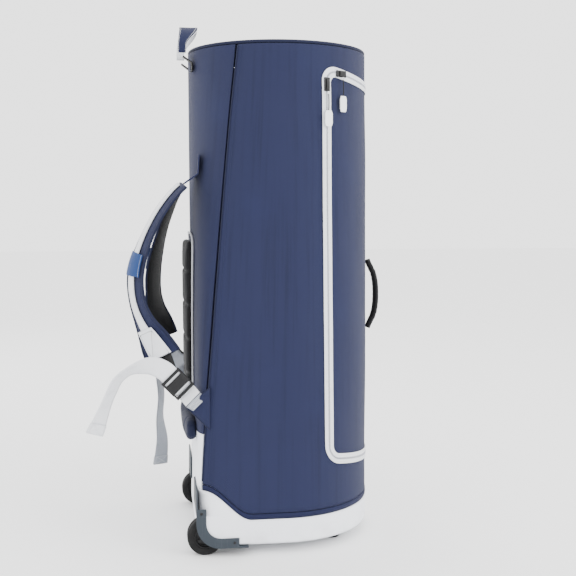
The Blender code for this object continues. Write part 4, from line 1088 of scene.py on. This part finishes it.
def strap_stations(side, width, steps=STRAP_STEPS):
    """Centre, direction across, width and outward normal along a strap."""
    sign = SIDES[side]
    route = []
    for x, z, y, roll in STRAP_ROUTE:
        share = (STRAP_ROUTE[0][1] - z) / (STRAP_ROUTE[0][1] - STRAP_ROUTE[-1][1])
        chord = mixed(STRAP_ROUTE[0][0], STRAP_ROUTE[-1][0], share)
        route.append((mixed(chord, x, STRAP_BULGE[side]), z, y, roll))
    dense = smooth_route(route, steps)
    stations = []
    for i, (x, z, y, roll) in enumerate(dense):
        ahead, behind = dense[min(i + 1, steps)], dense[max(i - 1, 0)]
        along = Vector((ahead[0] - behind[0], 0, ahead[1] - behind[1])).normalized()
        outward = Vector((along.z, 0, -along.x))
        turn = math.radians(roll)
        across = (outward * math.sin(turn) + Vector((0, -sign * math.cos(turn), 0))) * sign
        run = placed(ahead[0], sign * ahead[2], ahead[1]) - placed(behind[0], sign * behind[2], behind[1])
        stations.append((placed(x, sign * y, z), across, width, run.cross(across).normalized()))
    return stations


def strip(name, stations, finish, body, thickness, lift=0.0, columns=6, crown=0.0, edge=0.0):
    """A flat strap along stations, lifted off their face, with its middle raised by crown."""
    def place(i, j):
        centre, across, width, out = stations[i]
        share = 2 * j / columns - 1
        return centre + out * (lift + crown * (1 - share * share)) + across.normalized() * width * share / 2

    made = piece(name, sheet(name, len(stations) - 1, columns, place), finish, body)
    thicken(made, thickness, 0, edge)
    return made


def pillow(name, stations, thickness, finish, body, edge=0.35, sides=28, under=None):
    """A closed padded bar: thick in the middle, and edge times as thick at its two sewn edges.

    Where under is a finish, the half that faces the wearer takes it."""
    def place(i, j):
        centre, across, width, out = stations[min(max(i - 1, 0), len(stations) - 1)]
        turn = 2 * math.pi * j / sides
        flat = math.copysign(abs(math.cos(turn)) ** 0.75, math.cos(turn))
        tall = math.copysign(abs(math.sin(turn)) ** 0.8, math.sin(turn))
        swell = mixed(edge, 1.0, (1 - abs(flat) ** 3))
        closing = 0.55 if i in (0, len(stations) + 1) else 1.0
        return centre + (across.normalized() * width / 2 * flat + out * thickness / 2 * tall * swell) * closing

    girth = lengths([place(len(stations) // 2, j) for j in range(sides + 1)])[-1]
    mesh = sheet(name, len(stations) + 1, sides, place)
    bm = bmesh.new()
    bm.from_mesh(mesh)
    uv = bm.loops.layers.uv["cloth"]
    for face in bm.faces:
        turn = sum(loop[uv].uv.y for loop in face.loops) / 4
        face.material_index = int(bool(under) and turn > girth / 2)
    bmesh.ops.remove_doubles(bm, verts=bm.verts, dist=1e-6)
    bmesh.ops.holes_fill(bm, edges=bm.edges, sides=0)
    bmesh.ops.recalc_face_normals(bm, faces=bm.faces)
    bm.to_mesh(mesh)
    bm.free()
    made = piece(name, mesh, finish, body)
    if under:
        made.data.materials.append(under)
    return made


def beside(stations, share, lift):
    """The line at a share of the way from a strap's middle to its edge, lifted off its face."""
    return [c + a.normalized() * w * share / 2 + out * lift for c, a, w, out in stations]


print("strap", round(lengths([s[0] for s in strap_stations("left", STRAP_WIDTH)])[-1], 3), "m long")

# %% Sew the straps
LABEL_Z = (0.527, 0.572)
ANCHOR_WIDTH = WEBBING_WIDTH + 0.006
FACE = STRAP_PAD / 2 + 3 * GAP + WEBBING / 2


def label_blue():
    finish = Finish("label_weave", (0.004, 0.020, 0.085), 0.6, Specular_IOR_Level=0.2)
    yarns = weave(finish, finish.at("cloth"), 0.0007)
    finish.tint(((0.016, 0.070, 0.260), yarns * 0.6))
    finish.bump(yarns, 0.0001)
    return finish.material


LABEL = label_blue()

for side in SIDES:
    body_name = f"strap_{side}"
    stations = strap_stations(side, STRAP_WIDTH)
    puckered = []
    for i, (centre, across, width, out) in enumerate(stations):
        pucker = 0.5 * noise.noise(centre * 60) + 0.5 * noise.noise(centre * 140)
        puckered.append((centre + out * 0.0006 * pucker, across, width + 0.0012 * pucker, out))
    pad = pillow(f"pad_{side}", puckered, STRAP_PAD, NAVY, body_name, under=BLACK_CLOTH)
    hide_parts(f"strap_pad_{side}")
    for name, share in (("inner", 0.985), ("outer", -0.985)):
        edge_line = beside(puckered, share, 0)
        tube(f"pad_edge_{name}_{side}", edge_line, 0.0026, BINDING, body_name)
    web = strap_stations(side, STRIPE_WIDTH)[3:]
    band = strip(f"face_webbing_{side}", web, WHITE_WEBBING, body_name, WEBBING, FACE, 8, 0.0004)
    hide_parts(f"strap_webbing_{side}")
    lines = [beside(web, share, FACE + WEBBING / 2 + 0.0004) for share in (0.90, -0.90)]
    stitches(f"face_stitches_{side}", lines, WHITE_THREAD, body_name)
    bound = [beside(puckered, share, STRAP_PAD * 0.36) for share in (0.86, -0.86)]
    stitches(f"pad_stitches_{side}", bound, NAVY_THREAD, body_name)
    dense = strap_stations(side, 0.060, 240)
    label = [s for s in dense if LABEL_Z[0] <= s[0].z <= LABEL_Z[1]]
    patch = strip(f"label_{side}", label, LABEL, body_name, 0.001, FACE - 0.0026, 12, 0.0056, 0.0003)
    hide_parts(f"strap_label_{side}")
    rim = [beside(label, share, FACE - 0.0005) for share in (0.93, -0.93)]
    stitches(f"label_stitches_{side}", rim, WHITE_THREAD, body_name, 0.0022, 0.0016, 0.0003)

# %% [markdown]
# ## Ladder locks, adjuster webbing and wings
# A ladder lock is an oblong frame with a crossbar. The webbing comes from a cloth wing on the bag, goes out
# through the lower slot, over the crossbar and leaves over the upper bar, and its loose tail hangs down. The
# tail's end is folded and sewn, so that it can't slip back through.


# %% Describe a ladder lock's place
LOCK = (0.046, 0.044, 0.004)
LOCK_BAR = 0.006
LOCK_Y = 0.162
LOCK_TOP = (-0.2235, 0.3400)
LOCK_RUN = Vector((0.70, 0.0, -0.714)).normalized()
WING_TIP = (-0.1780, 0.1700, 0.2936)
WING_CLEAR = 0.005
TAIL_ROUTES = {
    "left": [
        (-0.235, 0.352, 0.0065),
        (-0.258, 0.362, 0.0080),
        (-0.282, 0.360, 0.0090),
        (-0.303, 0.3525, 0.0090),
        (-0.322, 0.337, 0.0080),
        (-0.335, 0.312, 0.0070),
        (-0.347, 0.283, 0.0060),
        (-0.358, 0.254, 0.0060),
        (-0.3655, 0.236, 0.0060),
    ],
    "right": [
        (-0.232, 0.350, 0.0065),
        (-0.240, 0.347, 0.0075),
        (-0.245, 0.332, 0.0080),
        (-0.243, 0.290, 0.0080),
        (-0.238, 0.240, 0.0070),
        (-0.241, 0.190, 0.0060),
        (-0.236, 0.140, 0.0050),
        (-0.240, 0.088, 0.0040),
    ],
}


TAIL_TWIST = {"left": 58, "right": 68}  # degrees that each tail turns about its own line


def lock_place(sign):
    """A matrix whose X runs down the lock, Y along its bars and Z out to the side."""
    out = Vector((0, sign, 0))
    turn = Matrix((LOCK_RUN, out.cross(LOCK_RUN), out)).transposed().to_4x4()
    return Matrix.Translation(placed(LOCK_TOP[0], sign * LOCK_Y, LOCK_TOP[1])) @ turn


def lock_shape():
    """Two side rails with a lower bar, and an upper bar and a toothed plate that bridge over the webbing."""
    length, width, thick = LOCK
    rail = 0.0034
    bm = bmesh.new()
    for k in (-1, 1):
        low_rail = rounded_block((length, rail, thick), 0.0009)
        joined(bm, low_rail, Matrix.Translation((length / 2 - LOCK_BAR / 2, k * (width - rail) / 2, 0)))
        high_rail = rounded_block((0.034, rail, 0.0085), 0.0011)
        joined(bm, high_rail, Matrix.Translation((0.0135, k * (width - rail) / 2, 0.0052)))
    joined(bm, rounded_block((LOCK_BAR, width - rail, thick), 0.0011), Matrix.Translation((length - LOCK_BAR, 0, 0)))
    joined(bm, rounded_block((LOCK_BAR, width - rail, 0.0026), 0.0009), Matrix.Translation((0, 0, 0.0083)))
    joined(bm, rounded_block((0.0220, width - rail, 0.0022), 0.0008), Matrix.Translation((0.0185, 0, 0.0081)))
    for k in range(5):
        rib = rounded_block((0.0010, width - 4 * rail, 0.0007), 0.0002, 1)
        joined(bm, rib, Matrix.Translation((0.0105 + k * 0.0040, 0, 0.0093)))
    return bm


def adjuster_stations(side):
    sign = SIDES[side]
    place = lock_place(sign)
    length, _, thick = LOCK
    middle = length / 2 - LOCK_BAR / 2
    off = thick / 2 + 0.003
    tip = placed(WING_TIP[0], sign * WING_TIP[1], WING_TIP[2])
    through = [(length, -off), (length - 1.3 * LOCK_BAR, -off), (0.65 * length, 0), (middle, off)]
    through.append((LOCK_BAR * 1.5, off))
    route = [tuple(tip - LOCK_RUN * WING_CLEAR)]
    route += [tuple(place @ Vector((x, 0, z))) for x, z in through]
    route += [tuple(placed(x, sign * (LOCK_Y + out), z)) for x, z, out in TAIL_ROUTES[side]]
    dense = smooth_route(route, 160)
    stations = []
    for i, centre in enumerate(dense):
        run = (Vector(dense[min(i + 1, 160)]) - Vector(dense[max(i - 1, 0)])).normalized()
        across = run.cross(Vector((0, sign, 0))).normalized()
        twist = math.radians(TAIL_TWIST[side]) * eased((i - 66) / 40) * (1 - 0.45 * eased((i - 130) / 30))
        across = (across * math.cos(twist) + Vector((0, sign * math.sin(twist), 0))).normalized()
        sway = noise.noise(Vector((i * 0.035, sign * 5, 0))) * eased((i - 70) / 40)
        centre = Vector(centre) + Vector((0, sign * 0.0016 * sway, 0))
        stations.append((centre, across, WEBBING_WIDTH - 0.001, run.cross(across)))
    return stations


print("lock", *LOCK)

# %% Thread the locks and hang the tails
FOLD = 0.022


def box_and_cross(stations, lift, inset=0.0035):
    """Lines of a sewn box with a cross in it, laid on the last stations of a strap."""
    first, last = stations[0], stations[-1]
    corners = []
    for (centre, across, width, out), k in ((first, 1), (first, -1), (last, -1), (last, 1)):
        corners.append(centre + across.normalized() * k * (width / 2 - inset) + out * lift)
    a, b, c, d = corners
    return [[a, b], [b, c], [c, d], [d, a], [a, c], [b, d]]


for side, sign in SIDES.items():
    body_name = f"strap_{side}"
    place = lock_place(sign)
    lock = lock_shape()
    bmesh.ops.transform(lock, verts=lock.verts, matrix=place)
    made = piece(f"lock_{side}", to_mesh(lock, "lock"), BLACK_PLASTIC, body_name)
    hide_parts(f"ladder_lock_{side}")

    stations = adjuster_stations(side)
    flat_length = lengths([s[0] for s in stations])[-1]
    # The right tail and its folded end take the grey webbing as painted shade; the left tail is white.
    finish = WHITE_WEBBING if side == "left" else GREY_AND_SHADED_WEBBING
    tail = strip(f"adjuster_{side}", stations, finish, body_name, WEBBING, 0, 8, 0.0005)
    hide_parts(f"adjuster_webbing_{side}")
    print(f"adjuster webbing {side}: {flat_length:.3f} m")

    folded = [s for s in stations if (s[0] - stations[-1][0]).length < FOLD]
    for k, face in enumerate((1, -1)):
        strip(f"tail_fold_{k}_{side}", folded, finish, body_name, 0.0012, face * 0.0017, 8, 0.0004)
    marks = box_and_cross(folded, 0.0028) + box_and_cross(folded, -0.0028)
    stitches(f"tail_stitches_{side}", marks, WHITE_THREAD, body_name, 0.0032, 0.0024)

    end = strap_stations(side, WEBBING_WIDTH + 0.004)[-18:]
    fold = strip(f"strap_fold_{side}", end, WHITE_WEBBING, body_name, 0.0022, FACE + 0.0016, 8, 0.0006)
    marks = box_and_cross(end[2:], FACE + 0.0036)
    stitches(f"strap_fold_stitches_{side}", marks, BLACK_THREAD, body_name, 0.0032, 0.0024)
    last = end[-1]
    keeper = []
    for k in range(13):
        share = k / 12
        bar = place @ Vector((-LOCK_BAR * 0.2, 0, 0))
        start = last[0] + last[3] * (FACE * 0.6)
        centre = start.lerp(bar, share) + Vector((0, sign, 0)) * 0.004 * math.sin(math.pi * share)
        across = last[1].lerp((place.to_3x3() @ Vector((0, 1, 0))) * (1 if last[1].dot(place.to_3x3() @ Vector((0, 1, 0))) > 0 else -1), share)
        keeper.append((centre, across, WEBBING_WIDTH - 0.002, across.cross(bar - start).normalized()))
    strip(f"lock_loop_{side}", keeper, BLACK_WEBBING, body_name, 0.0022, 0, 6, 0.0003)

# %% [markdown]
# The wings are triangles of the bag's cloth, bound at their edges and sewn to its sides. Each holds the webbing's
# end in a folded grey tab, sewn with a cross.

# %% Sew the wings and the straps' upper anchors
WING_ROOT = (-0.150, 0.1810)
WING_Z = (0.242, 0.320)

for side, sign in SIDES.items():
    tip = placed(WING_TIP[0], sign * WING_TIP[1], WING_TIP[2])
    bars = lock_place(sign).to_3x3() @ Vector((0, 1, 0))
    bars = bars if bars.z > 0 else -bars
    flat_bars = Vector((bars.x, 0, bars.z)).normalized() * WEBBING_WIDTH / 2
    root = [placed(WING_ROOT[0], sign * WING_ROOT[1], z) for z in WING_Z]
    slope = (tip.y - root[0].y) / (tip.x - root[0].x)

    def wing_place(i, j):
        high = j / 12
        at_root = root[0].lerp(root[1], high)
        at_tip = tip + flat_bars * (2 * high - 1)
        at_tip.y = root[0].y + slope * (at_tip.x - root[0].x)
        share = i / 16
        pull = 0.0016 * math.sin(math.pi * share) * math.sin(3 * math.pi * high)
        return at_root.lerp(at_tip, share) + Vector((0, sign * pull, 0))

    wing = piece(f"wing_{side}", sheet("wing", 16, 12, wing_place), NAVY, "bag")
    thicken(wing, 0.0025, 0, 0.0005)
    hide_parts(f"strap_wing_{side}")
    edges = [[wing_place(i, j) for i in range(17)] for j in (0, 12)]
    for k, line in enumerate(edges):
        tube(f"wing_edge_{k}_{side}", line, 0.0018, BINDING, "bag")
    out = Vector((0, sign * 0.0016, 0))
    lines = [[wing_place(i, j) + out for i in range(17)] for j in (1, 11)]
    lines.append([wing_place(2, j) + out for j in range(1, 12)])
    stitches(f"wing_stitches_{side}", lines, NAVY_THREAD, "bag")
    tab = []
    for k in range(9):
        centre = wing_place(10, 6).lerp(tip - LOCK_RUN * (WING_CLEAR - 0.001), k / 8) + out * 1.4
        tab.append((centre, flat_bars.normalized(), WEBBING_WIDTH - 0.001, Vector((0, sign, 0))))
    grey = strip(f"wing_tab_{side}", tab, GREY_AND_SHADED_WEBBING, "bag", WEBBING, 0.0006, 6)
    marks = box_and_cross(tab[1:-2], 0.0019, 0.004)
    stitches(f"wing_tab_stitches_{side}", marks, WHITE_THREAD, "bag", 0.0030, 0.0022)

    top = strap_stations(side, WEBBING_WIDTH)[0]
    y = sign * STRAP_ROUTE[0][2]
    anchor_route = []
    for k in range(11):
        z = mixed(0.765, 0.728, k / 10)
        skin = placed(back_x(y, z, 0.0025), y, z)
        anchor_route.append(skin)
    anchor_route += [skin.lerp(top[0] + Vector((0.001, 0, 0.003)), share) for share in (0.35, 0.7, 1.0)]
    anchor = [(centre, Vector((0, 1, 0)), ANCHOR_WIDTH, Vector((-1, 0, 0))) for centre in anchor_route]
    made = strip(f"anchor_{side}", anchor, NAVY, "bag", 0.003, 0, 6, 0.0006, 0.0006)
    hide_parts(f"strap_anchor_{side}")
    marks = box_and_cross(anchor[:10], 0.0028)
    stitches(f"anchor_stitches_{side}", marks, NAVY_THREAD, "bag")

# %% [markdown]
# ## Back pad, piping and lumbar bolster
# The back pad is foam under black mesh cloth, sewn through in channels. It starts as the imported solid, remeshed
# fine, and a short cloth simulation swells it: pressure from inside and no gravity. The channels are pressed in
# afterwards, because a remesh would erase them. The bolster below it is made in the same way.


# %% Swell the pads with a cloth simulation
def swollen(name, node, finish, cap, voxel=0.005):
    """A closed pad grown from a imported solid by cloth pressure, no point moved further than cap."""
    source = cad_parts[node]
    mesh = source.data.copy()
    bm = bmesh.new()
    bm.from_mesh(mesh)
    bmesh.ops.remove_doubles(bm, verts=bm.verts, dist=1e-5)
    middle = sum((vert.co for vert in bm.verts), Vector()) / len(bm.verts)
    for vert in bm.verts:
        vert.co.y = middle.y + (vert.co.y - middle.y) * 0.985
        vert.co.z = middle.z + (vert.co.z - middle.z) * 0.985
    bm.to_mesh(mesh)
    bm.free()
    obj = piece(name, mesh, finish, "bag")
    mesh.remesh_voxel_size = voxel
    remesh = obj.modifiers.new("even", "REMESH")
    remesh.mode = "VOXEL"
    remesh.voxel_size = voxel
    with bpy.context.temp_override(object=obj):
        bpy.ops.object.modifier_apply(modifier="even")
    before = [vert.co.copy() for vert in obj.data.vertices]
    sim = obj.modifiers.new("swell", "CLOTH")
    sim.settings.use_pressure = True
    sim.settings.uniform_pressure_force = 4
    sim.settings.effector_weights.gravity = 0
    for frame_number in range(1, 21):
        bpy.context.scene.frame_set(frame_number)
    with bpy.context.temp_override(object=obj):
        bpy.ops.object.modifier_apply(modifier="swell")
    bpy.context.scene.frame_set(1)
    bm = bmesh.new()
    bm.from_mesh(obj.data)
    for vert, start in zip(bm.verts, before):
        move = vert.co - start
        vert.co = start + move * min(1.0, cap / max(move.length, 1e-9))
    bmesh.ops.smooth_vert(bm, verts=bm.verts, factor=0.5, use_axis_x=True, use_axis_y=True, use_axis_z=True)
    bmesh.ops.subdivide_edges(bm, edges=bm.edges, cuts=1, use_grid_fill=True, smooth=0.6)
    return obj, bm


def pressed(obj, bm, depth, lines):
    """Presses sewn channels into the outer face. lines gives how near a point is to a seam, from 0 to 1."""
    bm.normal_update()
    for vert in bm.verts:
        if vert.normal.x < -0.25:
            vert.co.x += depth * lines(vert.co)
    bm.to_mesh(obj.data)
    bm.free()
    obj.data.shade_smooth()


def near_line(value, place, width):
    return math.exp(-(((value - place) / width) ** 2))


PAD_Z = (0.262, 0.602)
pad, pad_edit = swollen("pad_cloth", "back_pad", BLACK_CLOTH, 0.004)


def pad_seams(point):
    cross = max(near_line(point.z, mixed(*PAD_Z, k / 5), 0.0035) for k in range(1, 5))
    return max(cross, near_line(point.y, 0, 0.0035))


pressed(pad, pad_edit, 0.0035, pad_seams)
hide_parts("back_pad")

bolster, bolster_edit = swollen("bolster_cloth", "lumbar_bolster", BINDING, 0.005)
pressed(bolster, bolster_edit, 0.002, lambda point: near_line(abs(point.y), 0.10, 0.004))
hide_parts("lumbar_bolster")
print("pad", len(pad.data.vertices), "points, bolster", len(bolster.data.vertices))

# %% Pipe the pad
PIPING = 0.002
piping_line = []
for i in range(144):
    turn = 2 * math.pi * i / 144
    y = math.copysign(abs(math.cos(turn)) ** 0.25, math.cos(turn)) * 0.087
    z = sum(PAD_Z) / 2 + math.copysign(abs(math.sin(turn)) ** 0.25, math.sin(turn)) * 0.177
    piping_line.append(placed(back_x(y, z) - PIPING - 0.0012, y, z))
piping_finish = thread("grey_piping", (0.46, 0.47, 0.50), (0.34, 0.35, 0.38))
pipe = tube("pad_pipe", piping_line, PIPING, piping_finish, "bag", cyclic=True)
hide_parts("pad_piping")

# %% [markdown]
# ## Corner guards, wheels and feet
# Each back corner has a moulded guard, an L seen from the side, whose flange wraps round behind. The packed
# solids of housings and axles have the right shape, so they stay and take these finishes. A guard is replaced by a
# copy of its solid with bevelled edges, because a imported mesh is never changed.


# %% Finish the moulded corner parts
def refined(name, node, finish, body, edge, segments=3):
    """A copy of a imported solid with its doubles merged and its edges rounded."""
    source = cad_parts[node]
    bm = bmesh.new()
    bm.from_mesh(source.data)
    bmesh.ops.remove_doubles(bm, verts=bm.verts, dist=1e-5)
    bmesh.ops.dissolve_limit(bm, angle_limit=math.radians(1), verts=bm.verts, edges=bm.edges)
    edges = [line for line in bm.edges if line.calc_face_angle(0) > math.radians(40)]
    bmesh.ops.bevel(
        bm, geom=edges, offset=edge, affect="EDGES", segments=segments, profile=0.5, material=-1, clamp_overlap=True
    )
    made = piece(name, to_mesh(bm, name), finish, body)
    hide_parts(node)
    return made


def rivet(name, place, direction, radius, finish):
    """A domed rivet head: a low cone, its top edge bevelled round."""
    bm = bmesh.new()
    bmesh.ops.create_cone(bm, cap_ends=True, segments=20, radius1=radius, radius2=radius * 0.8, depth=radius * 0.6)
    top = [line for line in bm.edges if all(vert.co.z > 0 for vert in line.verts)]
    bmesh.ops.bevel(
        bm, geom=top, offset=radius * 0.3, affect="EDGES", segments=3, profile=0.5, material=-1
    )
    turn = Vector(direction).to_track_quat("Z", "Y").to_matrix().to_4x4()
    bmesh.ops.transform(bm, verts=bm.verts, matrix=Matrix.Translation(place) @ turn)
    return piece(name, to_mesh(bm, name), finish, "bag")


GUARD_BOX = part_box("corner_guard_left")
for side, sign in SIDES.items():
    refined(f"guard_{side}", f"corner_guard_{side}", GUARD, "bag", 0.0009)
    low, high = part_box(f"corner_guard_{side}")
    face_y = low.y if sign < 0 else high.y
    for k, (x, z) in enumerate(((low.x + 0.0095, 0.084), (HOUSING_FRONT_X + 0.009 + AXIS_X, low.z + 0.0105))):
        place = Vector((x, face_y + sign * 0.0004, z))
        rivet(f"rivet_{k}_{side}", place, (0, sign, 0), 0.0030, BLACK_PLASTIC)
    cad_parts[f"wheel_housing_{side}"].data.materials.clear()
    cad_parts[f"wheel_housing_{side}"].data.materials.append(HOUSING_WHITE)
    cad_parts[f"wheel_axle_{side}"].data.materials.clear()
    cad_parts[f"wheel_axle_{side}"].data.materials.append(STEEL)
for node in ("base_board", "back_stiffener"):
    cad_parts[node].data.materials.clear()
    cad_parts[node].data.materials.append(BOARD)
print("guards", [round(value, 4) for value in GUARD_BOX[0]], [round(value, 4) for value in GUARD_BOX[1]])

# %% [markdown]
# A wheel is a rubber tyre moulded on a plastic hub. A profile spun once round the axle makes each, and the hub's
# five hollows are inset and pushed in. The tyre carries shallow grooves across its tread.


# %% Turn the tyres, hubs and feet
def turned(profile, place, steps, closed=True):
    """A profile of (radius, place along the axis) spun round an axis along Y."""
    bm = bmesh.new()
    loop = [bm.verts.new((radius, along, 0)) for radius, along in profile]
    pairs = list(zip(loop, loop[1:] + loop[:1])) if closed else list(zip(loop, loop[1:]))
    edges = [bm.edges.new(pair) for pair in pairs]
    bmesh.ops.spin(
        bm, geom=loop + edges, cent=(0, 0, 0), axis=(0, 1, 0), angle=2 * math.pi, steps=steps, use_merge=True
    )
    bmesh.ops.remove_doubles(bm, verts=bm.verts, dist=1e-6)
    bmesh.ops.recalc_face_normals(bm, faces=bm.faces)
    bmesh.ops.translate(bm, verts=bm.verts, vec=place)
    return bm


WHEEL_RADIUS = 0.035
WHEEL_WIDTH = 0.030
HUB_RADIUS = 0.022
WHEEL_Y = sum(HOUSING_Y) / 2
HALF = WHEEL_WIDTH / 2

for side, sign in SIDES.items():
    place = placed(WHEEL_X, sign * WHEEL_Y, WHEEL_RADIUS)
    profile = [(HUB_RADIUS + 0.0003, -HALF)]
    for k in range(9):
        turn = math.pi / 2 * k / 8
        profile.append((WHEEL_RADIUS - 0.006 + 0.006 * math.sin(turn), -HALF + 0.006 - 0.006 * math.cos(turn)))
    profile += [(WHEEL_RADIUS, -0.003), (WHEEL_RADIUS - 0.0008, -0.002), (WHEEL_RADIUS - 0.0008, 0.002)]
    profile += [(WHEEL_RADIUS, 0.003)] + [(radius, -along) for radius, along in reversed(profile[1:10])]
    profile.append((HUB_RADIUS + 0.0003, HALF))
    tyre = turned(profile, place, 96)
    made = piece(f"tyre_rubber_{side}", to_mesh(tyre, "tyre"), RUBBER, f"wheel_{side}")
    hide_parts(f"tyre_{side}")

    bore = 0.00308
    face = [(bore, 0.014), (0.0078, 0.014), (0.0092, 0.0125), (0.0096, 0.010), (0.0182, 0.010), (0.0188, 0.0122)]
    face += [(0.0196, 0.014), (0.0214, 0.014), (0.0220, 0.0135)]
    hub = turned([(r, -a) for r, a in face] + [(r, a) for r, a in reversed(face)], place, 80)
    webs = [item for item in hub.faces if abs(abs(item.calc_center_median().y - place.y) - 0.010) < 1e-4]
    hollows = []
    for item in webs:
        centre = item.calc_center_median() - place
        turn = math.degrees(math.atan2(centre.z, centre.x)) % 72
        if 10 < turn < 62:
            hollows.append(item)
    bmesh.ops.inset_region(hub, faces=hollows, thickness=0.0009, depth=0)
    bmesh.ops.inset_region(hub, faces=hollows, thickness=0.0004, depth=-0.0035)
    made = piece(f"hub_{side}", to_mesh(hub, "hub"), BLACK_PLASTIC, f"wheel_{side}")
    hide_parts(f"wheel_hub_{side}")

    foot_profile = [(0.0, 0.0197), (0.0180, 0.0197), (0.0178, 0.0150), (0.0171, 0.0065), (0.0160, 0.0022)]
    foot_profile += [(0.0145, 0.0004), (0.0138, 0.0), (0.0092, 0.0), (0.0088, 0.0010), (0.0, 0.0010)]
    foot = turned([(radius, z) for radius, z in foot_profile], (0, 0, 0), 64, closed=False)
    stand = Matrix.Translation(placed(0.100, sign * 0.095, 0)) @ Matrix.Rotation(math.pi / 2, 4, "X")
    bmesh.ops.transform(foot, verts=foot.verts, matrix=stand)
    bmesh.ops.recalc_face_normals(foot, faces=foot.faces)
    made = piece(f"foot_{side}", to_mesh(foot, "foot"), BLACK_PLASTIC, "bag")
    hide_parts(f"front_foot_{side}")
print("wheels and feet turned")

# %% [markdown]
# ## Front handle and haul loop
# The front handle is a padded tube of black cloth on a flat strip that is sewn to the flap. It bends, so the inner
# side of the tube gathers in small wrinkles. The haul loop on the back rim is navy webbing with a white lining.

# %% Make the front handle
GRIP_Z = (0.406, 0.550)
GRIP = (0.024, 0.012)
GRIP_RISE = 0.028
STRIP_Z = (0.372, 0.587)


def strip_place(i, j):
    angle = 0.030 / RADIUS * (j / 8 - 0.5)
    return front_point(angle, mixed(*STRIP_Z, i / 60), GAP + 0.0022 * eased((4 - abs(j - 4)) / 1.5))


strip_mesh = sheet("handle_strip", 60, 8, strip_place)
handle_strip = piece("handle_strip", strip_mesh, BLACK_WEBBING, "flap")
thicken(handle_strip, 0.0012, 1, 0.0003)
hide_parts("front_handle_strip")
lines = []
for k in (-1, 1):
    angle = k * 0.0115 / RADIUS
    lines.append([front_point(angle, mixed(0.376, 0.583, m / 40), GAP + 0.0036) for m in range(41)])
for low_z in (0.376, 0.388, 0.400, 0.556, 0.569, 0.582):
    lines.append([front_point(k / 10 * 0.0125 / RADIUS, low_z, GAP + 0.0036) for k in range(-10, 11)])
stitches("handle_stitches", lines, BLACK_THREAD, "flap")

profile = [(0.0, 0.0), (0.06, 0.20), (0.20, 0.72), (0.35, 0.95), (0.5, 1.0)]
profile += [(1 - share, rise) for share, rise in reversed(profile[:-1])]
centres = []
for share, rise in smooth_route(profile, 120):
    x = RADIUS + mixed(0.010, GRIP_RISE, rise)
    centres.append((placed(x, 0, mixed(*reversed(GRIP_Z), share)), mixed(0.012, GRIP[0], rise)))
bar = []
for i, (centre, width) in enumerate(centres):
    run = (centres[min(i + 1, 120)][0] - centres[max(i - 1, 0)][0]).normalized()
    gather = eased(i / 14) * eased((120 - i) / 14)
    wrinkle = gather * (math.sin(i * 0.85) * 0.5 + noise.noise(Vector((i * 0.23, 0, 1))))
    normal = run.cross(Vector((0, 1, 0))).normalized()
    bar.append((centre - normal * 0.0003 * wrinkle, Vector((0, 1, 0)), width + 0.0008 * wrinkle, normal))
grip = pillow("handle_grip", bar, GRIP[1] * 0.96, BLACK_CLOTH, "front_handle", edge=0.8, sides=32)
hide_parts("front_handle_grip")
seam = [beside(bar, 0.0, -GRIP[1] / 2 * 0.96)]
stitches("grip_stitches", seam, BLACK_THREAD, "front_handle")
for k, part in enumerate((bar[:9], bar[-9:])):
    cuff = [(c, a, 0.017, n) for c, a, w, n in part]
    pillow(f"grip_cuff_{k}", cuff, 0.0085, BLACK_WEBBING, "front_handle", edge=0.7, sides=20)

# %% Make the haul loop and its anchors
HAUL_TOP_Z = 1.034
HAUL_PIVOT = (-0.1985, 0.970)


def haul_stations(shrink, steps=72):
    stations = []
    for i in range(steps + 1):
        turn = math.pi * i / steps
        rise = math.sin(turn) ** 0.7
        y = -(0.055 - shrink) * math.cos(turn)
        z = mixed(HAUL_PIVOT[1] + 0.004, HAUL_TOP_Z - WEBBING - shrink, rise)
        x = mixed(HAUL_PIVOT[0], -0.184, eased(rise * 1.3 - 0.3))
        width = mixed(0.016, 0.037, eased(rise * 1.3 - 0.3))
        stations.append([placed(x, y, z), Vector((1, 0, 0)), width])
    for i, station in enumerate(stations):
        run = stations[min(i + 1, steps)][0] - stations[max(i - 1, 0)][0]
        station.append(run.cross(Vector((1, 0, 0))).normalized())
    return stations


outer, inner = haul_stations(0.0), haul_stations(0.0032)
band = strip("haul_band", outer, NAVY, "haul_loop", WEBBING * 1.5, 0, 8, 0.0003, 0.0005)
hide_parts("haul_loop_band")
lining = strip("haul_lining", inner, WHITE_WEBBING, "haul_loop", WEBBING, 0, 8, 0.0003)
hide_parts("haul_loop_lining")
face = -WEBBING * 0.75 if outer[36][3].z < 0 else WEBBING * 0.75
lines = [beside(outer, share, face * 1.35) for share in (0.86, -0.86)]
stitches("haul_stitches", lines, WHITE_THREAD, "haul_loop")
for side, sign in SIDES.items():
    y = sign * 0.055
    tip = placed(HAUL_PIVOT[0] + 0.002, y, HAUL_PIVOT[1] - 0.004)
    spots = []
    for k in range(10):
        z = mixed(0.936, 0.953, k / 9)
        spots.append(placed(back_x(y, z, 0.0025), y, z))
    spots += [spots[-1].lerp(tip, share) for share in (0.3, 0.65, 1.0)]
    widths = [mixed(0.030, 0.016, max(0, k - 4) / 8) for k in range(13)]
    stations = [(spot, Vector((0, 1, 0)), width, Vector((-1, 0, 0))) for spot, width in zip(spots, widths)]
    made = strip(f"haul_tab_{side}", stations, BLACK_WEBBING, "bag", 0.0024, 0, 6, 0.0004, 0.0005)
    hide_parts(f"haul_anchor_{side}")
    stitches(f"haul_tab_stitches_{side}", box_and_cross(stations[:9], 0.0022), BLACK_THREAD, "bag")
